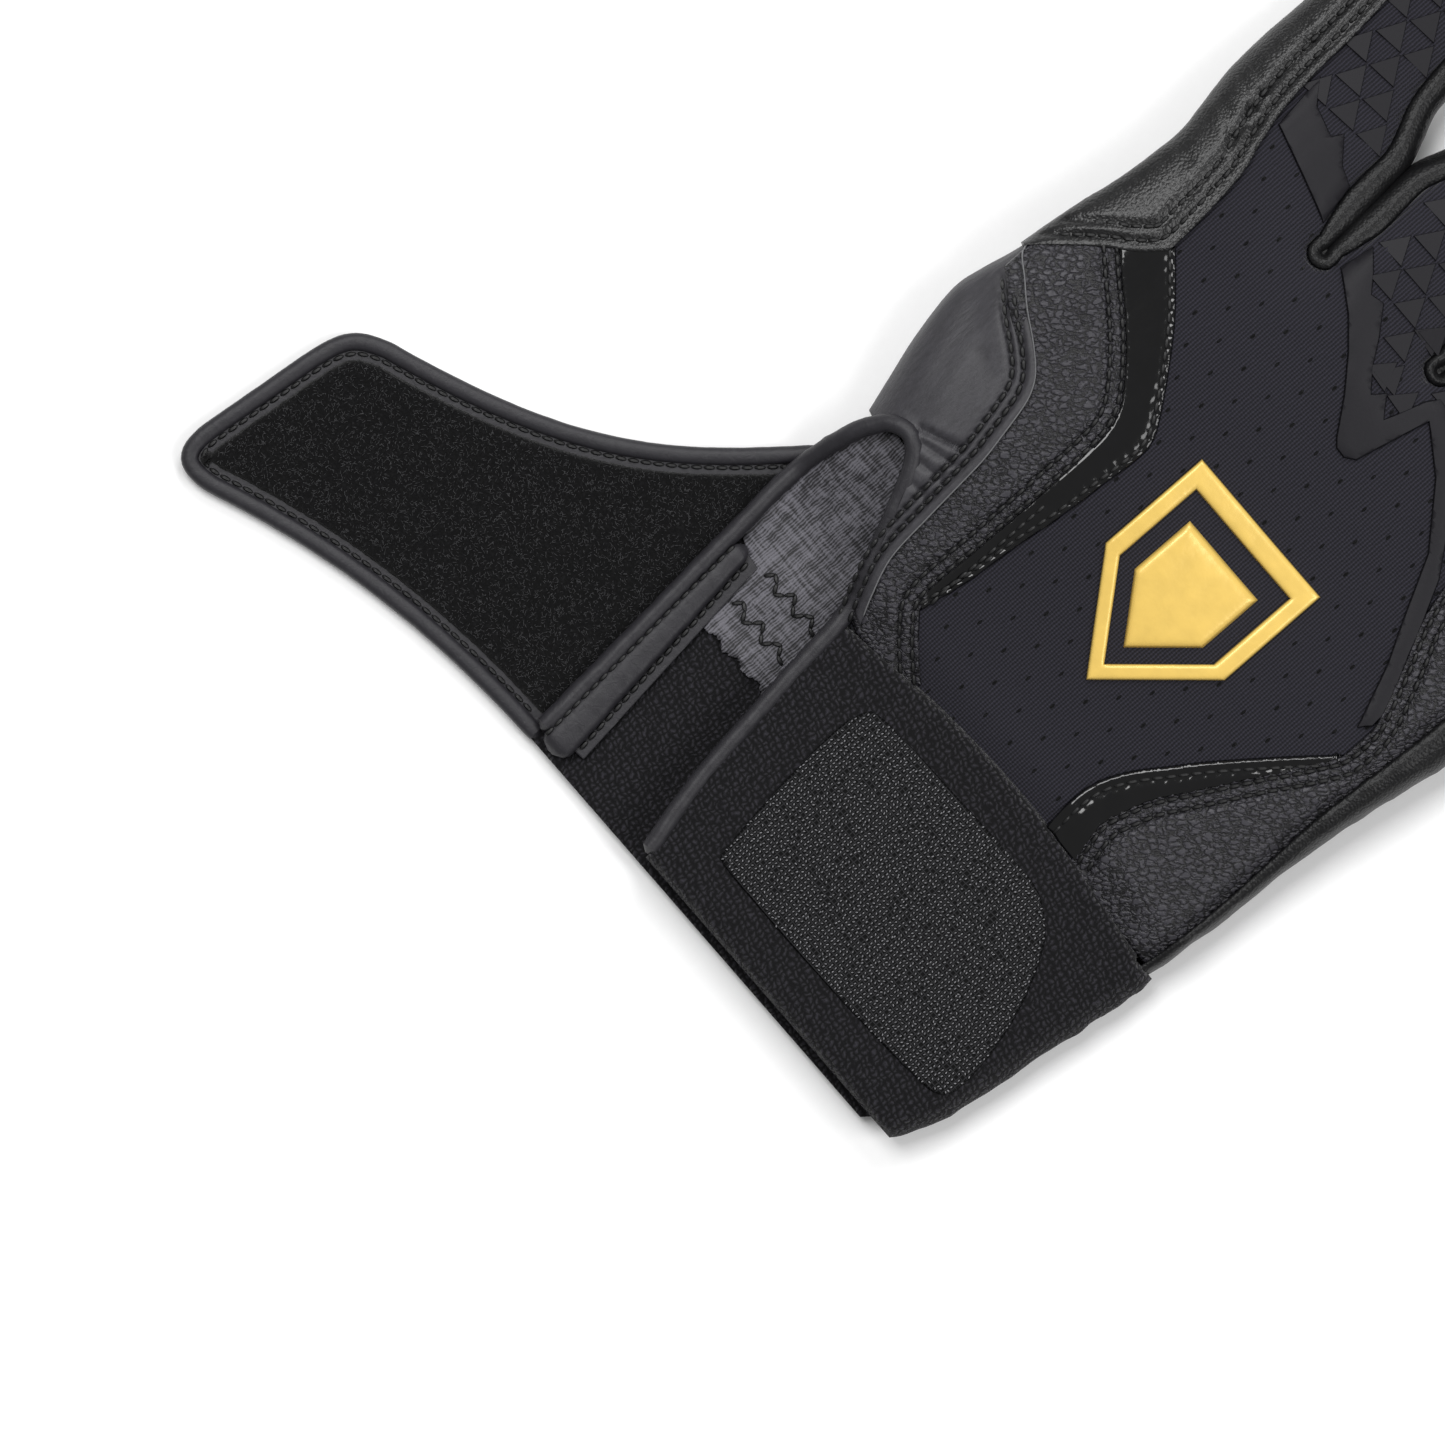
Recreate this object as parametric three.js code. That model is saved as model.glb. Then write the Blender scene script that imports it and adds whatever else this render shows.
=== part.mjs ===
// A right-hand batting glove lying back up on a table, empty and a little puffed out, with its wrist
// strap opened to the side and its thumb tucked under the palm.
// Millimetres. +X runs to the little finger, +Y to the fingertips, +Z out of the back of the hand.
// Pattern points are measured from the middle of the cuff's wrist edge; the origin is the middle of
// the cuff's underside, on the table.
import * as THREE from 'three';
import { mergeVertices } from 'three/addons/utils/BufferGeometryUtils.js';
import { TessellateModifier } from 'three/addons/modifiers/TessellateModifier.js';

// Sheet goods
const PALM_LEATHER = 1.0;
const BACK_FABRIC = 1.2;
const OVERLAY_LEATHER = 1.0;
const PATENT_SHEET = 0.8;
const ELASTIC = 2.0;
const LINING_CLOTH = 0.8;
const SEAM_GAP = 0.3;
const FACET = 9;
const WIDE_FACET = 14;

// Height of the empty glove above the table
const CUFF_HEIGHT = 8.8;
const HAND_HEIGHT = 12.5;
const FINGER_HEIGHT = 10;
const THUMB_HEIGHT = 7.6;
const BACK_RISE_OVER_THUMB = 4;
const EDGE_DROP = 2;
const CROWN_WIDTH = 14;

// The hand, from the cuff to the finger roots and across the knuckles. Its pattern is drafted on a grid
// of steps, which is stretched to these two sizes.
const HAND_LENGTH = 100;
const HAND_WIDTH = 108;
const STEPS_ALONG = 100;
const STEPS_ACROSS = 108;

// Where the back swells, falls to the fingers and gets its crown, in steps beyond the cuff
const SWELL_STEPS = 55;
const FINGER_FALL_STEPS = [85, 125];
const CROWN_STEPS = 25;

// Cuff
const CUFF_LENGTH = 50;
const CUFF_ARCH = 4;
const PALM_CUFF_PEEK = 1.5;
const WRIST_HALF_WIDTH = 43.5;

// Fingers, in steps: widths at root and tip, length from the root, splay in degrees, and how far beyond
// the cuff each side starts
const CROTCH_GAP = 1.2;
const INDEX_BASE_X = -50.8;
const FINGERS = [
  { base: 30.3, tip: 25, length: 76, splay: -6.5, root: 99, leftStart: 92, rightStart: 99.5 },
  { base: 26, tip: 23, length: 84, splay: -0.5, root: 100, leftStart: 99.5, rightStart: 101.5 },
  { base: 25, tip: 22, length: 78, splay: 5, root: 98, leftStart: 101.5, rightStart: 94.5 },
  { base: 24, tip: 19.5, length: 62, splay: 11, root: 94, leftStart: 94.5, rightStart: 72 },
];
const TIP_ROUNDNESS = 1.1;
const ROLL_WIDTH = 4.6;
const UNDER_ROLL = 4;

// Thumb
const THUMB_WIDTH = 25;
const THUMB_LENGTH = 62;
const THUMB_TILT = 20;
const THUMB_ROOT = [-40, 43];
const THUMB_ROLL = 3.5;
const PALM_CLEARANCE = 0.5;
const PALM_SLOPE = 26;
const BACK_SLOPE = 42;
const BACK_SLOPE_START = -3;

// Wrist slit and its binding
const BINDING_RADIUS = 1.5;
const BINDING_INSET = 1.9;
const HEM_WIDTH = 4.6;
const HEM_HEIGHT = 2.6;
const HEM_LENGTH = 46;

// Strap
const STRAP_LENGTH = 72.5;
const STRAP_END_WIDTH = 36.4;
const STRAP_ROOT_WIDTH = 65.3;
const STRAP_DROP = 27.5;
const STRAP_LEATHER = 1.0;
const STRAP_PILE = 1.3;
const STRAP_ROLL_RADIUS = 1.5;
const ROOT_X = -WRIST_HALF_WIDTH - 3.3;
const ROOT_LEAN = 0.085;

// Trim on the back
const HOOK_LENGTH = 35;
const HOOK_WIDTH = 54;
const HOOK_THICKNESS = 1.0;
const GUARD_THICKNESS = 0.9;
const EMBLEM_WIDTH = 30;
const EMBLEM_HEIGHT = 38;
const EMBLEM_RIM = 3.2;
const EMBLEM_THICKNESS = 1.0;

const point = (x, y) => new THREE.Vector2(x, y);
const stepAlong = HAND_LENGTH / STEPS_ALONG;
const stepAcross = HAND_WIDTH / STEPS_ACROSS;
const hand = (across, along) => point(across * stepAcross, CUFF_LENGTH + along * stepAlong);
const cuff = (across, along) => point(across * WRIST_HALF_WIDTH, along * CUFF_LENGTH);
const stepsBeyondCuff = (y) => (y - CUFF_LENGTH) / stepAlong;
const { smoothstep, lerp, degToRad, clamp } = THREE.MathUtils;

// Smooth run of points through a few pattern points
function spline(points, steps) {
  return new THREE.SplineCurve(points).getPoints(steps);
}

// Moves each point of an open outline to the right of its direction of travel, by a fixed distance or
// by a function of the place; the points before and after the run give the direction at its ends
function inset(points, distance, before = points[0], after = points.at(-1)) {
  const around = [before, ...points, after];
  return points.map((here, i) => {
    const travel = around[i + 2].clone().sub(around[i]).normalize();
    const width = typeof distance === 'function' ? distance(here) : distance;
    return point(here.x + travel.y * width, here.y - travel.x * width);
  });
}

// Pulls the two ends of a run of points back, to leave room for the seam with the next run
function shortened(points) {
  const [first, second] = points;
  const [beforeLast, last] = points.slice(-2);
  const pull = (end, next) => end.clone().add(next.clone().sub(end).setLength(SEAM_GAP / 2));
  return [pull(first, second), ...points.slice(1, -1), pull(last, beforeLast)];
}

// Fingers, outlined from the index side to the little-finger side
let fingerLeft = INDEX_BASE_X;
for (const finger of FINGERS) {
  const angle = degToRad(finger.splay);
  finger.along = point(Math.sin(angle), Math.cos(angle));
  finger.across = point(Math.cos(angle), -Math.sin(angle));
  finger.left = fingerLeft;
  finger.right = fingerLeft + finger.base;
  finger.half = (finger.tip / 2) * stepAcross;
  finger.round = finger.half * TIP_ROUNDNESS;
  finger.tipCentre = hand(finger.left + finger.base / 2, finger.root)
    .addScaledVector(finger.along, finger.length * stepAlong - finger.round);
  fingerLeft = finger.right + CROTCH_GAP;
}

// One side of a finger from its root to the middle of its tip; side is -1 for left, 1 for right
function fingerSide(finger, side) {
  const start = side < 0 ? hand(finger.left, finger.leftStart) : hand(finger.right, finger.rightStart);
  const shoulder = finger.tipCentre.clone().addScaledVector(finger.across, side * finger.half);
  const points = [];
  const straightSteps = 5;
  const tipSteps = 4;
  for (let i = 0; i < straightSteps; i += 1) {
    points.push(start.clone().lerp(shoulder, i / straightSteps));
  }
  for (let i = 0; i <= tipSteps; i += 1) {
    const turn = (i / tipSteps) * (Math.PI / 2);
    const around = finger.tipCentre.clone()
      .addScaledVector(finger.across, side * Math.cos(turn) * finger.half)
      .addScaledVector(finger.along, Math.sin(turn) * finger.round);
    points.push(around);
  }
  return points;
}

// The round bottom of the gap between two neighbouring fingers
function crotch(left, right) {
  const middle = hand((left.right + right.left) / 2, left.rightStart);
  const points = [];
  for (const turn of [45, 90, 135]) {
    const angle = degToRad(180 + turn);
    points.push(point(middle.x + (Math.cos(angle) * CROTCH_GAP) / 2,
      middle.y + (Math.sin(angle) * CROTCH_GAP) / 2));
  }
  return points;
}

const [indexFinger, middleFinger, ringFinger, littleFinger] = FINGERS;
const indexBase = spline([hand(-53.8, 63.3), hand(-52.8, 73), hand(-51, 82)], 5);
const indexOuter = [...indexBase, ...fingerSide(indexFinger, -1)];
const between = (left, right) => [
  ...fingerSide(left, 1).reverse(), ...crotch(left, right), ...fingerSide(right, -1)];
const indexToMiddle = between(indexFinger, middleFinger);
const middleToRing = between(middleFinger, ringFinger);
const ringToLittle = between(ringFinger, littleFinger);
const cuffCorner = hand(52.2, 0.5);
const littleEdge = spline([hand(57.2, 58), hand(54.6, 47), hand(53.5, 33), hand(53, 18), cuffCorner], 9);
const littleOuter = [...fingerSide(littleFinger, 1).reverse(), ...littleEdge];
const thumbEdge = spline([hand(-49.3, 27.4), hand(-51.2, 32.5), hand(-53.8, 40.5), hand(-55.6, 51),
  hand(-55.3, 57), hand(-54, 62.6)], 10);
const outline = [...thumbEdge, ...indexOuter, ...indexToMiddle.slice(1), ...middleToRing.slice(1),
  ...ringToLittle.slice(1), ...littleOuter.slice(1)];

// The thumb's middle line, under the palm
const thumbTurn = degToRad(THUMB_TILT);
const thumbAlong = point(Math.sin(thumbTurn), Math.cos(thumbTurn));
const thumbAcross = point(Math.cos(thumbTurn), -Math.sin(thumbTurn));
const thumbRoot = hand(...THUMB_ROOT);
const thumbTipCentre = thumbRoot.clone().addScaledVector(thumbAlong, THUMB_LENGTH - THUMB_WIDTH / 2);

function distanceToSegment(x, y, start, end) {
  const run = end.clone().sub(start);
  const along = (x - start.x) * run.x + (y - start.y) * run.y;
  const share = clamp(along / run.lengthSq(), 0, 1);
  return Math.hypot(x - start.x - run.x * share, y - start.y - run.y * share);
}

function distanceToOutline(x, y) {
  let nearest = Infinity;
  for (let i = 1; i < outline.length; i += 1) {
    nearest = Math.min(nearest, distanceToSegment(x, y, outline[i - 1], outline[i]));
  }
  return nearest;
}

// How far a place lies outside the thumb's plan
const thumbDistance = (x, y) => distanceToSegment(x, y, thumbRoot, thumbTipCentre) - THUMB_WIDTH / 2;

// Underside of the palm: on the table, and lifted where the thumb lies under it
function palmHeight(x, y) {
  const lifted = THUMB_HEIGHT + PALM_CLEARANCE;
  return lifted * (1 - smoothstep(thumbDistance(x, y), 1, 1 + PALM_SLOPE));
}

// Outer face of the back: low at the cuff, high over the hand, crowned across hand and fingers
function backHeight(x, y) {
  const along = stepsBeyondCuff(y);
  const swell = (HAND_HEIGHT - CUFF_HEIGHT) * smoothstep(along, 0, SWELL_STEPS);
  const fall = (HAND_HEIGHT - FINGER_HEIGHT) * smoothstep(along, ...FINGER_FALL_STEPS);
  const rise = BACK_RISE_OVER_THUMB * (1 - smoothstep(thumbDistance(x, y), BACK_SLOPE_START, BACK_SLOPE));
  const nearEdge = 1 - Math.min(distanceToOutline(x, y) / CROWN_WIDTH, 1);
  const edgeFall = EDGE_DROP * nearEdge * nearEdge * smoothstep(along, 0, CROWN_STEPS);
  return CUFF_HEIGHT + swell - fall + rise - edgeFall;
}
const backAt = (place) => backHeight(place.x, place.y);
const palmAt = (place) => palmHeight(place.x, place.y);

// Closes a geometry up as one outward-facing solid
function closed(geometry) {
  geometry.deleteAttribute('normal');
  geometry.deleteAttribute('uv');
  const merged = mergeVertices(geometry, 1e-4);
  const position = merged.getAttribute('position');
  const corners = merged.getIndex();
  const [a, b, c] = [new THREE.Vector3(), new THREE.Vector3(), new THREE.Vector3()];
  let volume = 0;
  for (let i = 0; i < corners.count; i += 3) {
    a.fromBufferAttribute(position, corners.getX(i));
    b.fromBufferAttribute(position, corners.getX(i + 1));
    c.fromBufferAttribute(position, corners.getX(i + 2));
    volume += a.dot(b.cross(c));
  }
  for (let i = 0; volume < 0 && i < corners.count; i += 3) {
    const swap = corners.getX(i + 1);
    corners.setX(i + 1, corners.getX(i + 2));
    corners.setX(i + 2, swap);
  }
  merged.computeVertexNormals();
  return merged;
}

// Leaves out the points that lie on a straight stretch between their neighbours
function cornersOf(points) {
  return points.filter((here, i) => {
    const before = here.clone().sub(points.at(i - 1));
    const after = points[(i + 1) % points.length].clone().sub(here);
    return Math.abs(before.cross(after)) > 1e-3 * before.length() * after.length();
  });
}

// A flat pattern piece draped so that its upper face lies at the given height
function drapedSheet(points, upperHeight, thickness, facet = FACET, holes = []) {
  const shape = new THREE.Shape(cornersOf(points));
  shape.holes = holes.map((hole) => new THREE.Path(hole));
  const flat = new THREE.ExtrudeGeometry(shape, { depth: 1, bevelEnabled: false });
  flat.deleteAttribute('normal');
  flat.deleteAttribute('uv');
  const draped = new TessellateModifier(facet, 14).modify(flat);
  const position = draped.getAttribute('position');
  for (let i = 0; i < position.count; i += 1) {
    const below = (1 - position.getZ(i)) * thickness;
    position.setZ(i, upperHeight(position.getX(i), position.getY(i)) - below);
  }
  return closed(draped);
}

// A sheet bent round an edge of the glove, from a seam on the underside to a seam on top.
// The three rows hold matching points along the edge and its two seams.
function rolledStrip(edge, upperSeam, lowerSeam, upperHeight, lowerHeight, thickness) {
  const around = 6;
  const steps = edge.length - 1;
  const strip = new THREE.BoxGeometry(1, 1, 1, around, steps, 1);
  const position = strip.getAttribute('position');
  for (let i = 0; i < position.count; i += 1) {
    const row = Math.round((position.getY(i) + 0.5) * steps);
    const turn = position.getX(i) * Math.PI;
    const depth = (0.5 - position.getZ(i)) * thickness;
    const seam = turn >= 0 ? upperSeam[row] : lowerSeam[row];
    const top = upperHeight(upperSeam[row]);
    const bottom = lowerHeight(lowerSeam[row]);
    const inward = upperSeam[row].clone().sub(edge[row]).normalize();
    const place = edge[row].clone().lerp(seam, 1 - Math.cos(turn));
    place.addScaledVector(inward, depth * Math.cos(turn));
    const height = (top + bottom) / 2 + ((top - bottom) / 2 - depth) * Math.sin(turn);
    position.setXYZ(i, place.x, place.y, height);
  }
  return closed(strip);
}

// A round rolled edge or cord-like binding swept along a path
function rolledEdge(path, radius, steps) {
  const section = new THREE.Shape();
  section.absarc(0, 0, radius, 0, Math.PI * 2);
  return closed(new THREE.ExtrudeGeometry(section, {
    steps, curveSegments: 4, bevelEnabled: false, extrudePath: path }));
}

const glove = new THREE.Group();
glove.position.y = -CUFF_LENGTH / 2;

function add(name, geometry, color, roughness, metalness = 0) {
  const material = new THREE.MeshStandardMaterial({ color, roughness, metalness });
  const mesh = new THREE.Mesh(geometry, material);
  mesh.name = name;
  glove.add(mesh);
}

// Seam rows of the rolled side strips
const INDEX_SEAM_WIDTHS = [[63.3, 0.8], [75, 9.5], [82, 14.4], [100, 11.6], [125, 10], [160, 8]];
function indexSeamWidth(place) {
  const along = stepsBeyondCuff(place.y);
  const last = INDEX_SEAM_WIDTHS.length - 1;
  for (let i = 1; i <= last; i += 1) {
    const [from, narrow] = INDEX_SEAM_WIDTHS[i - 1];
    const [to, wide] = INDEX_SEAM_WIDTHS[i];
    if (along <= to) return lerp(narrow, wide, clamp((along - from) / (to - from), 0, 1));
  }
  return INDEX_SEAM_WIDTHS[last][1];
}
const littleSeamWidth = (place) => lerp(1.8, 7, smoothstep(stepsBeyondCuff(place.y), 5, 75));
const strips = [
  { name: 'index_side_panel', edge: indexOuter, width: indexSeamWidth },
  { name: 'fourchette_index_middle', edge: indexToMiddle, width: () => ROLL_WIDTH },
  { name: 'fourchette_middle_ring', edge: middleToRing, width: () => ROLL_WIDTH },
  { name: 'fourchette_ring_little', edge: ringToLittle, width: () => ROLL_WIDTH },
  { name: 'little_finger_side_panel', edge: littleOuter, width: littleSeamWidth },
];
strips.forEach((strip, i) => {
  const before = strips[i - 1]?.edge.at(-2);
  const after = strips[i + 1]?.edge[1];
  const underWidth = (place) => Math.min(UNDER_ROLL, strip.width(place) + 1);
  strip.row = (distance) => inset(strip.edge, distance, before, after);
  strip.backEdge = strip.row((place) => strip.width(place) + SEAM_GAP);
  strip.palmEdge = strip.row((place) => underWidth(place) + SEAM_GAP);
  add(strip.name, rolledStrip(shortened(strip.edge), shortened(strip.row(strip.width)),
    shortened(strip.row(underWidth)), backAt, palmAt, PALM_LEATHER), 0x2a2a2c, 0.55);
});
const backEdges = strips.flatMap((strip) => strip.backEdge);
const palmEdges = strips.flatMap((strip) => strip.palmEdge);

// Line along which the strap is sewn to the palm side of the cuff
const rootX = (y) => ROOT_X - ROOT_LEAN * y;

// Right side of the wrist slit, along the middle of its binding
const slitSide = [cuff(-0.432, 0.016), cuff(-0.506, 0.32), cuff(-0.575, 0.76), cuff(-0.618, 1.05)];
function slitX(y) {
  const i = slitSide.findIndex((place, k) => k > 0 && y <= place.y);
  const [from, to] = i < 0 ? slitSide.slice(-2) : [slitSide[i - 1], slitSide[i]];
  return lerp(from.x, to.x, (y - from.y) / (to.y - from.y));
}
const slitThroat = [hand(-31, 11.5), hand(-36.8, 23.5), hand(-40, 27.4)];
const slitTop = [hand(-43.2, 28.6), hand(-46.4, 26.4), hand(-48.6, 20.5)];
const seatOnPalm = PALM_LEATHER + SEAM_GAP + BINDING_RADIUS;
const rootPlaces = [1.15, 0.9, 0.45, 0.02].map((share) => {
  const y = share * CUFF_LENGTH;
  return point(rootX(y) + BINDING_INSET, y);
});
const onCuffEdge = (place) => new THREE.Vector3(place.x, place.y, CUFF_HEIGHT - ELASTIC / 2);
const onBackEdge = (place) => new THREE.Vector3(place.x, place.y, backAt(place) - BACK_FABRIC / 2);
const onPalmEdge = (place) => new THREE.Vector3(place.x, place.y, palmAt(place) + seatOnPalm);
const onRoot = (place) => new THREE.Vector3(place.x, place.y, ELASTIC + SEAM_GAP + BINDING_RADIUS);
const bindingPath = new THREE.CatmullRomCurve3([
  ...slitSide.map(onCuffEdge), ...slitThroat.map(onBackEdge), ...slitTop.map(onPalmEdge),
  ...rootPlaces.map(onRoot)]);
add('slit_binding', rolledEdge(bindingPath, BINDING_RADIUS, 34), 0x2d2d30, 0.5);

// The elastic cuff: one band from the strap's root under the wrist, round the fold and over the back
// to the slit, where it ends beside the binding
const cuffTop = (x) => {
  const share = clamp((x - slitX(CUFF_LENGTH)) / (cuffCorner.x - slitX(CUFF_LENGTH)), 0, 1);
  return CUFF_LENGTH + CUFF_ARCH * Math.sin(share * Math.PI);
};
function cuffBand() {
  const [underSteps, foldSteps, overSteps, lengthSteps] = [4, 6, 5, 4];
  const steps = underSteps + foldSteps + overSteps;
  const foldRadius = CUFF_HEIGHT / 2;
  const band = new THREE.BoxGeometry(1, 1, 1, steps, lengthSteps, 1);
  const position = band.getAttribute('position');
  for (let i = 0; i < position.count; i += 1) {
    const step = Math.round((position.getX(i) + 0.5) * steps);
    const share = position.getY(i) + 0.5;
    const depth = (0.5 - position.getZ(i)) * ELASTIC;
    const y = share * CUFF_LENGTH;
    const foldX = lerp(WRIST_HALF_WIDTH, cuffCorner.x, share) - foldRadius;
    if (step < underSteps) {
      const start = share === 0 ? -PALM_CUFF_PEEK : y;
      position.setXYZ(i, lerp(rootX(y) + SEAM_GAP, foldX, step / underSteps), start, depth);
    } else if (step <= underSteps + foldSteps) {
      const turn = ((step - underSteps) / foldSteps - 0.5) * Math.PI;
      const radius = foldRadius - depth;
      position.setXYZ(i, foldX + radius * Math.cos(turn), y, foldRadius + radius * Math.sin(turn));
    } else {
      const along = (step - underSteps - foldSteps) / overSteps;
      const x = lerp(foldX, slitX(y) + BINDING_RADIUS + SEAM_GAP, along);
      position.setXYZ(i, x, share * cuffTop(x), CUFF_HEIGHT - depth);
    }
  }
  return closed(band);
}
add('cuff_elastic', cuffBand(), 0x111113, 0.9);

// Second roll of the strap's root, lying on the cuff beside the binding
function rootHem() {
  const section = new THREE.Shape();
  section.moveTo(HEM_WIDTH / 2, 0);
  section.absellipse(0, 0, HEM_WIDTH / 2, HEM_HEIGHT, 0, Math.PI);
  const hem = new THREE.ExtrudeGeometry(section, {
    depth: HEM_LENGTH, curveSegments: 5, bevelEnabled: false });
  hem.rotateX(Math.PI / 2);
  hem.translate(0, HEM_LENGTH, 0);
  hem.rotateZ(Math.atan(ROOT_LEAN));
  const beside = ROOT_X + BINDING_INSET + BINDING_RADIUS + SEAM_GAP + HEM_WIDTH / 2;
  hem.translate(beside, 0, ELASTIC + SEAM_GAP);
  return closed(hem);
}
add('root_hem', rootHem(), 0x2d2d30, 0.5);

// Palm: one piece of leather with the finger fronts, and the knit lining that shows in the slit
const palmHeel = [
  point(rootX(CUFF_LENGTH) + BINDING_INSET / 2, CUFF_LENGTH + SEAM_GAP), hand(-50.8, 8), hand(-50, 16),
  hand(-47, 24), hand(-43, 30), hand(-41.5, 40), hand(-43, 52), hand(-48, 60.5)];
const palmOutline = [...spline(palmHeel, 14), ...palmEdges.slice(0, -1),
  point(palmEdges.at(-1).x, CUFF_LENGTH + SEAM_GAP)];
add('palm_panel', drapedSheet(palmOutline, (x, y) => palmHeight(x, y) + PALM_LEATHER, PALM_LEATHER,
  WIDE_FACET), 0x27272a, 0.5);
const liningRise = ELASTIC + SEAM_GAP + LINING_CLOTH;
const liningOutline = [cuff(-0.878, 0.66), cuff(-0.956, 0.93), hand(-46.2, 8), hand(-45.2, 18),
  hand(-42.5, 21.5), hand(-38.5, 20.5), hand(-31, 8), hand(-22, 0), cuff(-0.46, 0.66)];
add('palm_lining', drapedSheet(liningOutline, (x, y) => palmHeight(x, y) + liningRise, LINING_CLOTH),
  0x55555d, 0.85);

// Thumb: the panel that wraps the base of the thumb, then back, front and gusset under the palm
const thumbSeam = spline([hand(-44, 31.4), hand(-36, 33.2), hand(-34.2, 40), hand(-35, 45.5),
  hand(-38.5, 50.5), hand(-45, 55.3), hand(-52, 61)], 10);
const thumbUnderSeam = spline([hand(-42.5, 31.2), hand(-45.5, 45), hand(-47.5, 59)], 10);
add('thumb_base_panel', rolledStrip(thumbEdge, thumbSeam, thumbUnderSeam, backAt, () => 0, PALM_LEATHER),
  0x37373b, 0.6);
function thumbPlace(across, along) {
  return thumbRoot.clone().addScaledVector(thumbAcross, across).addScaledVector(thumbAlong, along);
}
function thumbSides() {
  const half = THUMB_WIDTH / 2;
  const tipStart = THUMB_LENGTH - half;
  const sides = [0.28, 0.42, 0.56, 0.69].map((share) => thumbPlace(-half, share * THUMB_LENGTH));
  const tipSteps = 8;
  for (let i = 0; i <= tipSteps; i += 1) {
    const turn = Math.PI * (1 - i / tipSteps);
    sides.push(thumbPlace(half * Math.cos(turn), tipStart + half * Math.sin(turn)));
  }
  const innerShares = [0.61, 0.42, 0.23, 0.03, -0.13];
  return [...sides, ...innerShares.map((share) => thumbPlace(half, share * THUMB_LENGTH))];
}
const thumbOutline = thumbSides();
const thumbInner = inset(thumbOutline, THUMB_ROLL);
add('thumb_gusset', rolledStrip(thumbOutline, thumbInner, thumbInner, () => THUMB_HEIGHT, () => 0,
  PALM_LEATHER), 0x2a2a2c, 0.55);
const thumbField = inset(thumbOutline, THUMB_ROLL + SEAM_GAP);
const thumbUnderEdge = thumbUnderSeam.map((place) => point(place.x + SEAM_GAP, place.y));
add('thumb_back', drapedSheet([...thumbField, ...thumbUnderEdge], () => PALM_LEATHER, PALM_LEATHER),
  0x37373b, 0.6);
add('thumb_front', drapedSheet([...thumbField, hand(-40.5, 32), hand(-42, 58)], () => THUMB_HEIGHT,
  PALM_LEATHER), 0x27272a, 0.5);

// Back of the hand and fingers, one piece of knit
const onBack = (offset) => (x, y) => backHeight(x, y) + offset;
const slitBorder = inset(spline([slitSide.at(-1), ...slitThroat.slice(0, 2)], 5),
  BINDING_RADIUS + SEAM_GAP);
const thumbBorder = inset(thumbSeam, SEAM_GAP).slice(1);
const backLeft = [...slitBorder, ...thumbBorder];
function cuffBorder(fromX, toX, steps) {
  const border = [];
  for (let i = 0; i <= steps; i += 1) {
    const x = lerp(fromX, toX, i / steps);
    border.push(point(x, cuffTop(x) + SEAM_GAP));
  }
  return border;
}
const slitCornerX = slitX(CUFF_LENGTH) + BINDING_RADIUS + SEAM_GAP;
const backCornerX = backEdges.at(-1).x;
add('back_panel', drapedSheet([...backLeft, ...backEdges.slice(0, -1),
  ...cuffBorder(backCornerX, slitCornerX, 10)], onBack(0), BACK_FABRIC, WIDE_FACET), 0x1c1b23, 0.85);

// Leather overlays and patent trims sewn on the back
const overlayLift = SEAM_GAP + OVERLAY_LEATHER;
const trimLift = SEAM_GAP + PATENT_SHEET;
const radialSide = spline([hand(-41.8, 74.5), hand(-34, 68.8), hand(-26.5, 62.5), hand(-21.6, 56),
  hand(-20, 48), hand(-19.7, 30), hand(-19.7, 13), hand(-16.5, 8.5), hand(-11, 4.2)], 24);
const indexDiagonal = strips[0].backEdge.filter((place) => place.y < radialSide[0].y);
add('radial_overlay', drapedSheet([...backLeft, ...indexDiagonal, ...radialSide,
  ...cuffBorder(-12.5, slitCornerX, 3)], onBack(overlayLift), OVERLAY_LEATHER), 0x2f2f32, 0.6);
const radialTrimInner = inset(radialSide.slice(0, 19), -SEAM_GAP);
const radialTrimOuter = spline([hand(-18.6, 14), hand(-16.5, 30), hand(-15, 45), hand(-14.6, 55),
  hand(-18, 62.6), hand(-27.5, 73.4), hand(-36, 80.6)], 16);
add('radial_trim', drapedSheet([...radialTrimInner, ...radialTrimOuter], onBack(trimLift), PATENT_SHEET),
  0x0b0b0c, 0.15);
const ulnarInner = spline([hand(28, 4.4), hand(26.6, 10), hand(27.5, 15), hand(29.3, 20), hand(35, 30.5),
  hand(41, 41), hand(44.7, 47.6)], 14);
const ulnarOuter = spline([hand(44.3, 47.3), hand(37.5, 39.3), hand(30.5, 30), hand(24, 20), hand(21.6, 15),
  hand(20.8, 10), hand(21.2, 4.6)], 14);
const ulnarTop = spline([hand(44.7, 47.6), hand(44.4, 54), hand(40, 65), hand(35.5, 74), hand(33.6, 84),
  hand(37.5, 92)], 10);
add('ulnar_trim', drapedSheet([...ulnarInner.slice(0, -1), ...ulnarOuter], onBack(trimLift), PATENT_SHEET),
  0x0b0b0c, 0.15);
const overlayTop = hand(50, 96);
const littleBorder = strips.at(-1).backEdge.filter((place) => place.y < overlayTop.y);
add('ulnar_overlay', drapedSheet([...inset(ulnarInner, SEAM_GAP), ...inset(ulnarTop, SEAM_GAP).slice(1),
  overlayTop, ...littleBorder.slice(0, -1), ...cuffBorder(backCornerX, 29, 4)], onBack(overlayLift),
  OVERLAY_LEATHER), 0x2f2f32, 0.6);

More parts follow.
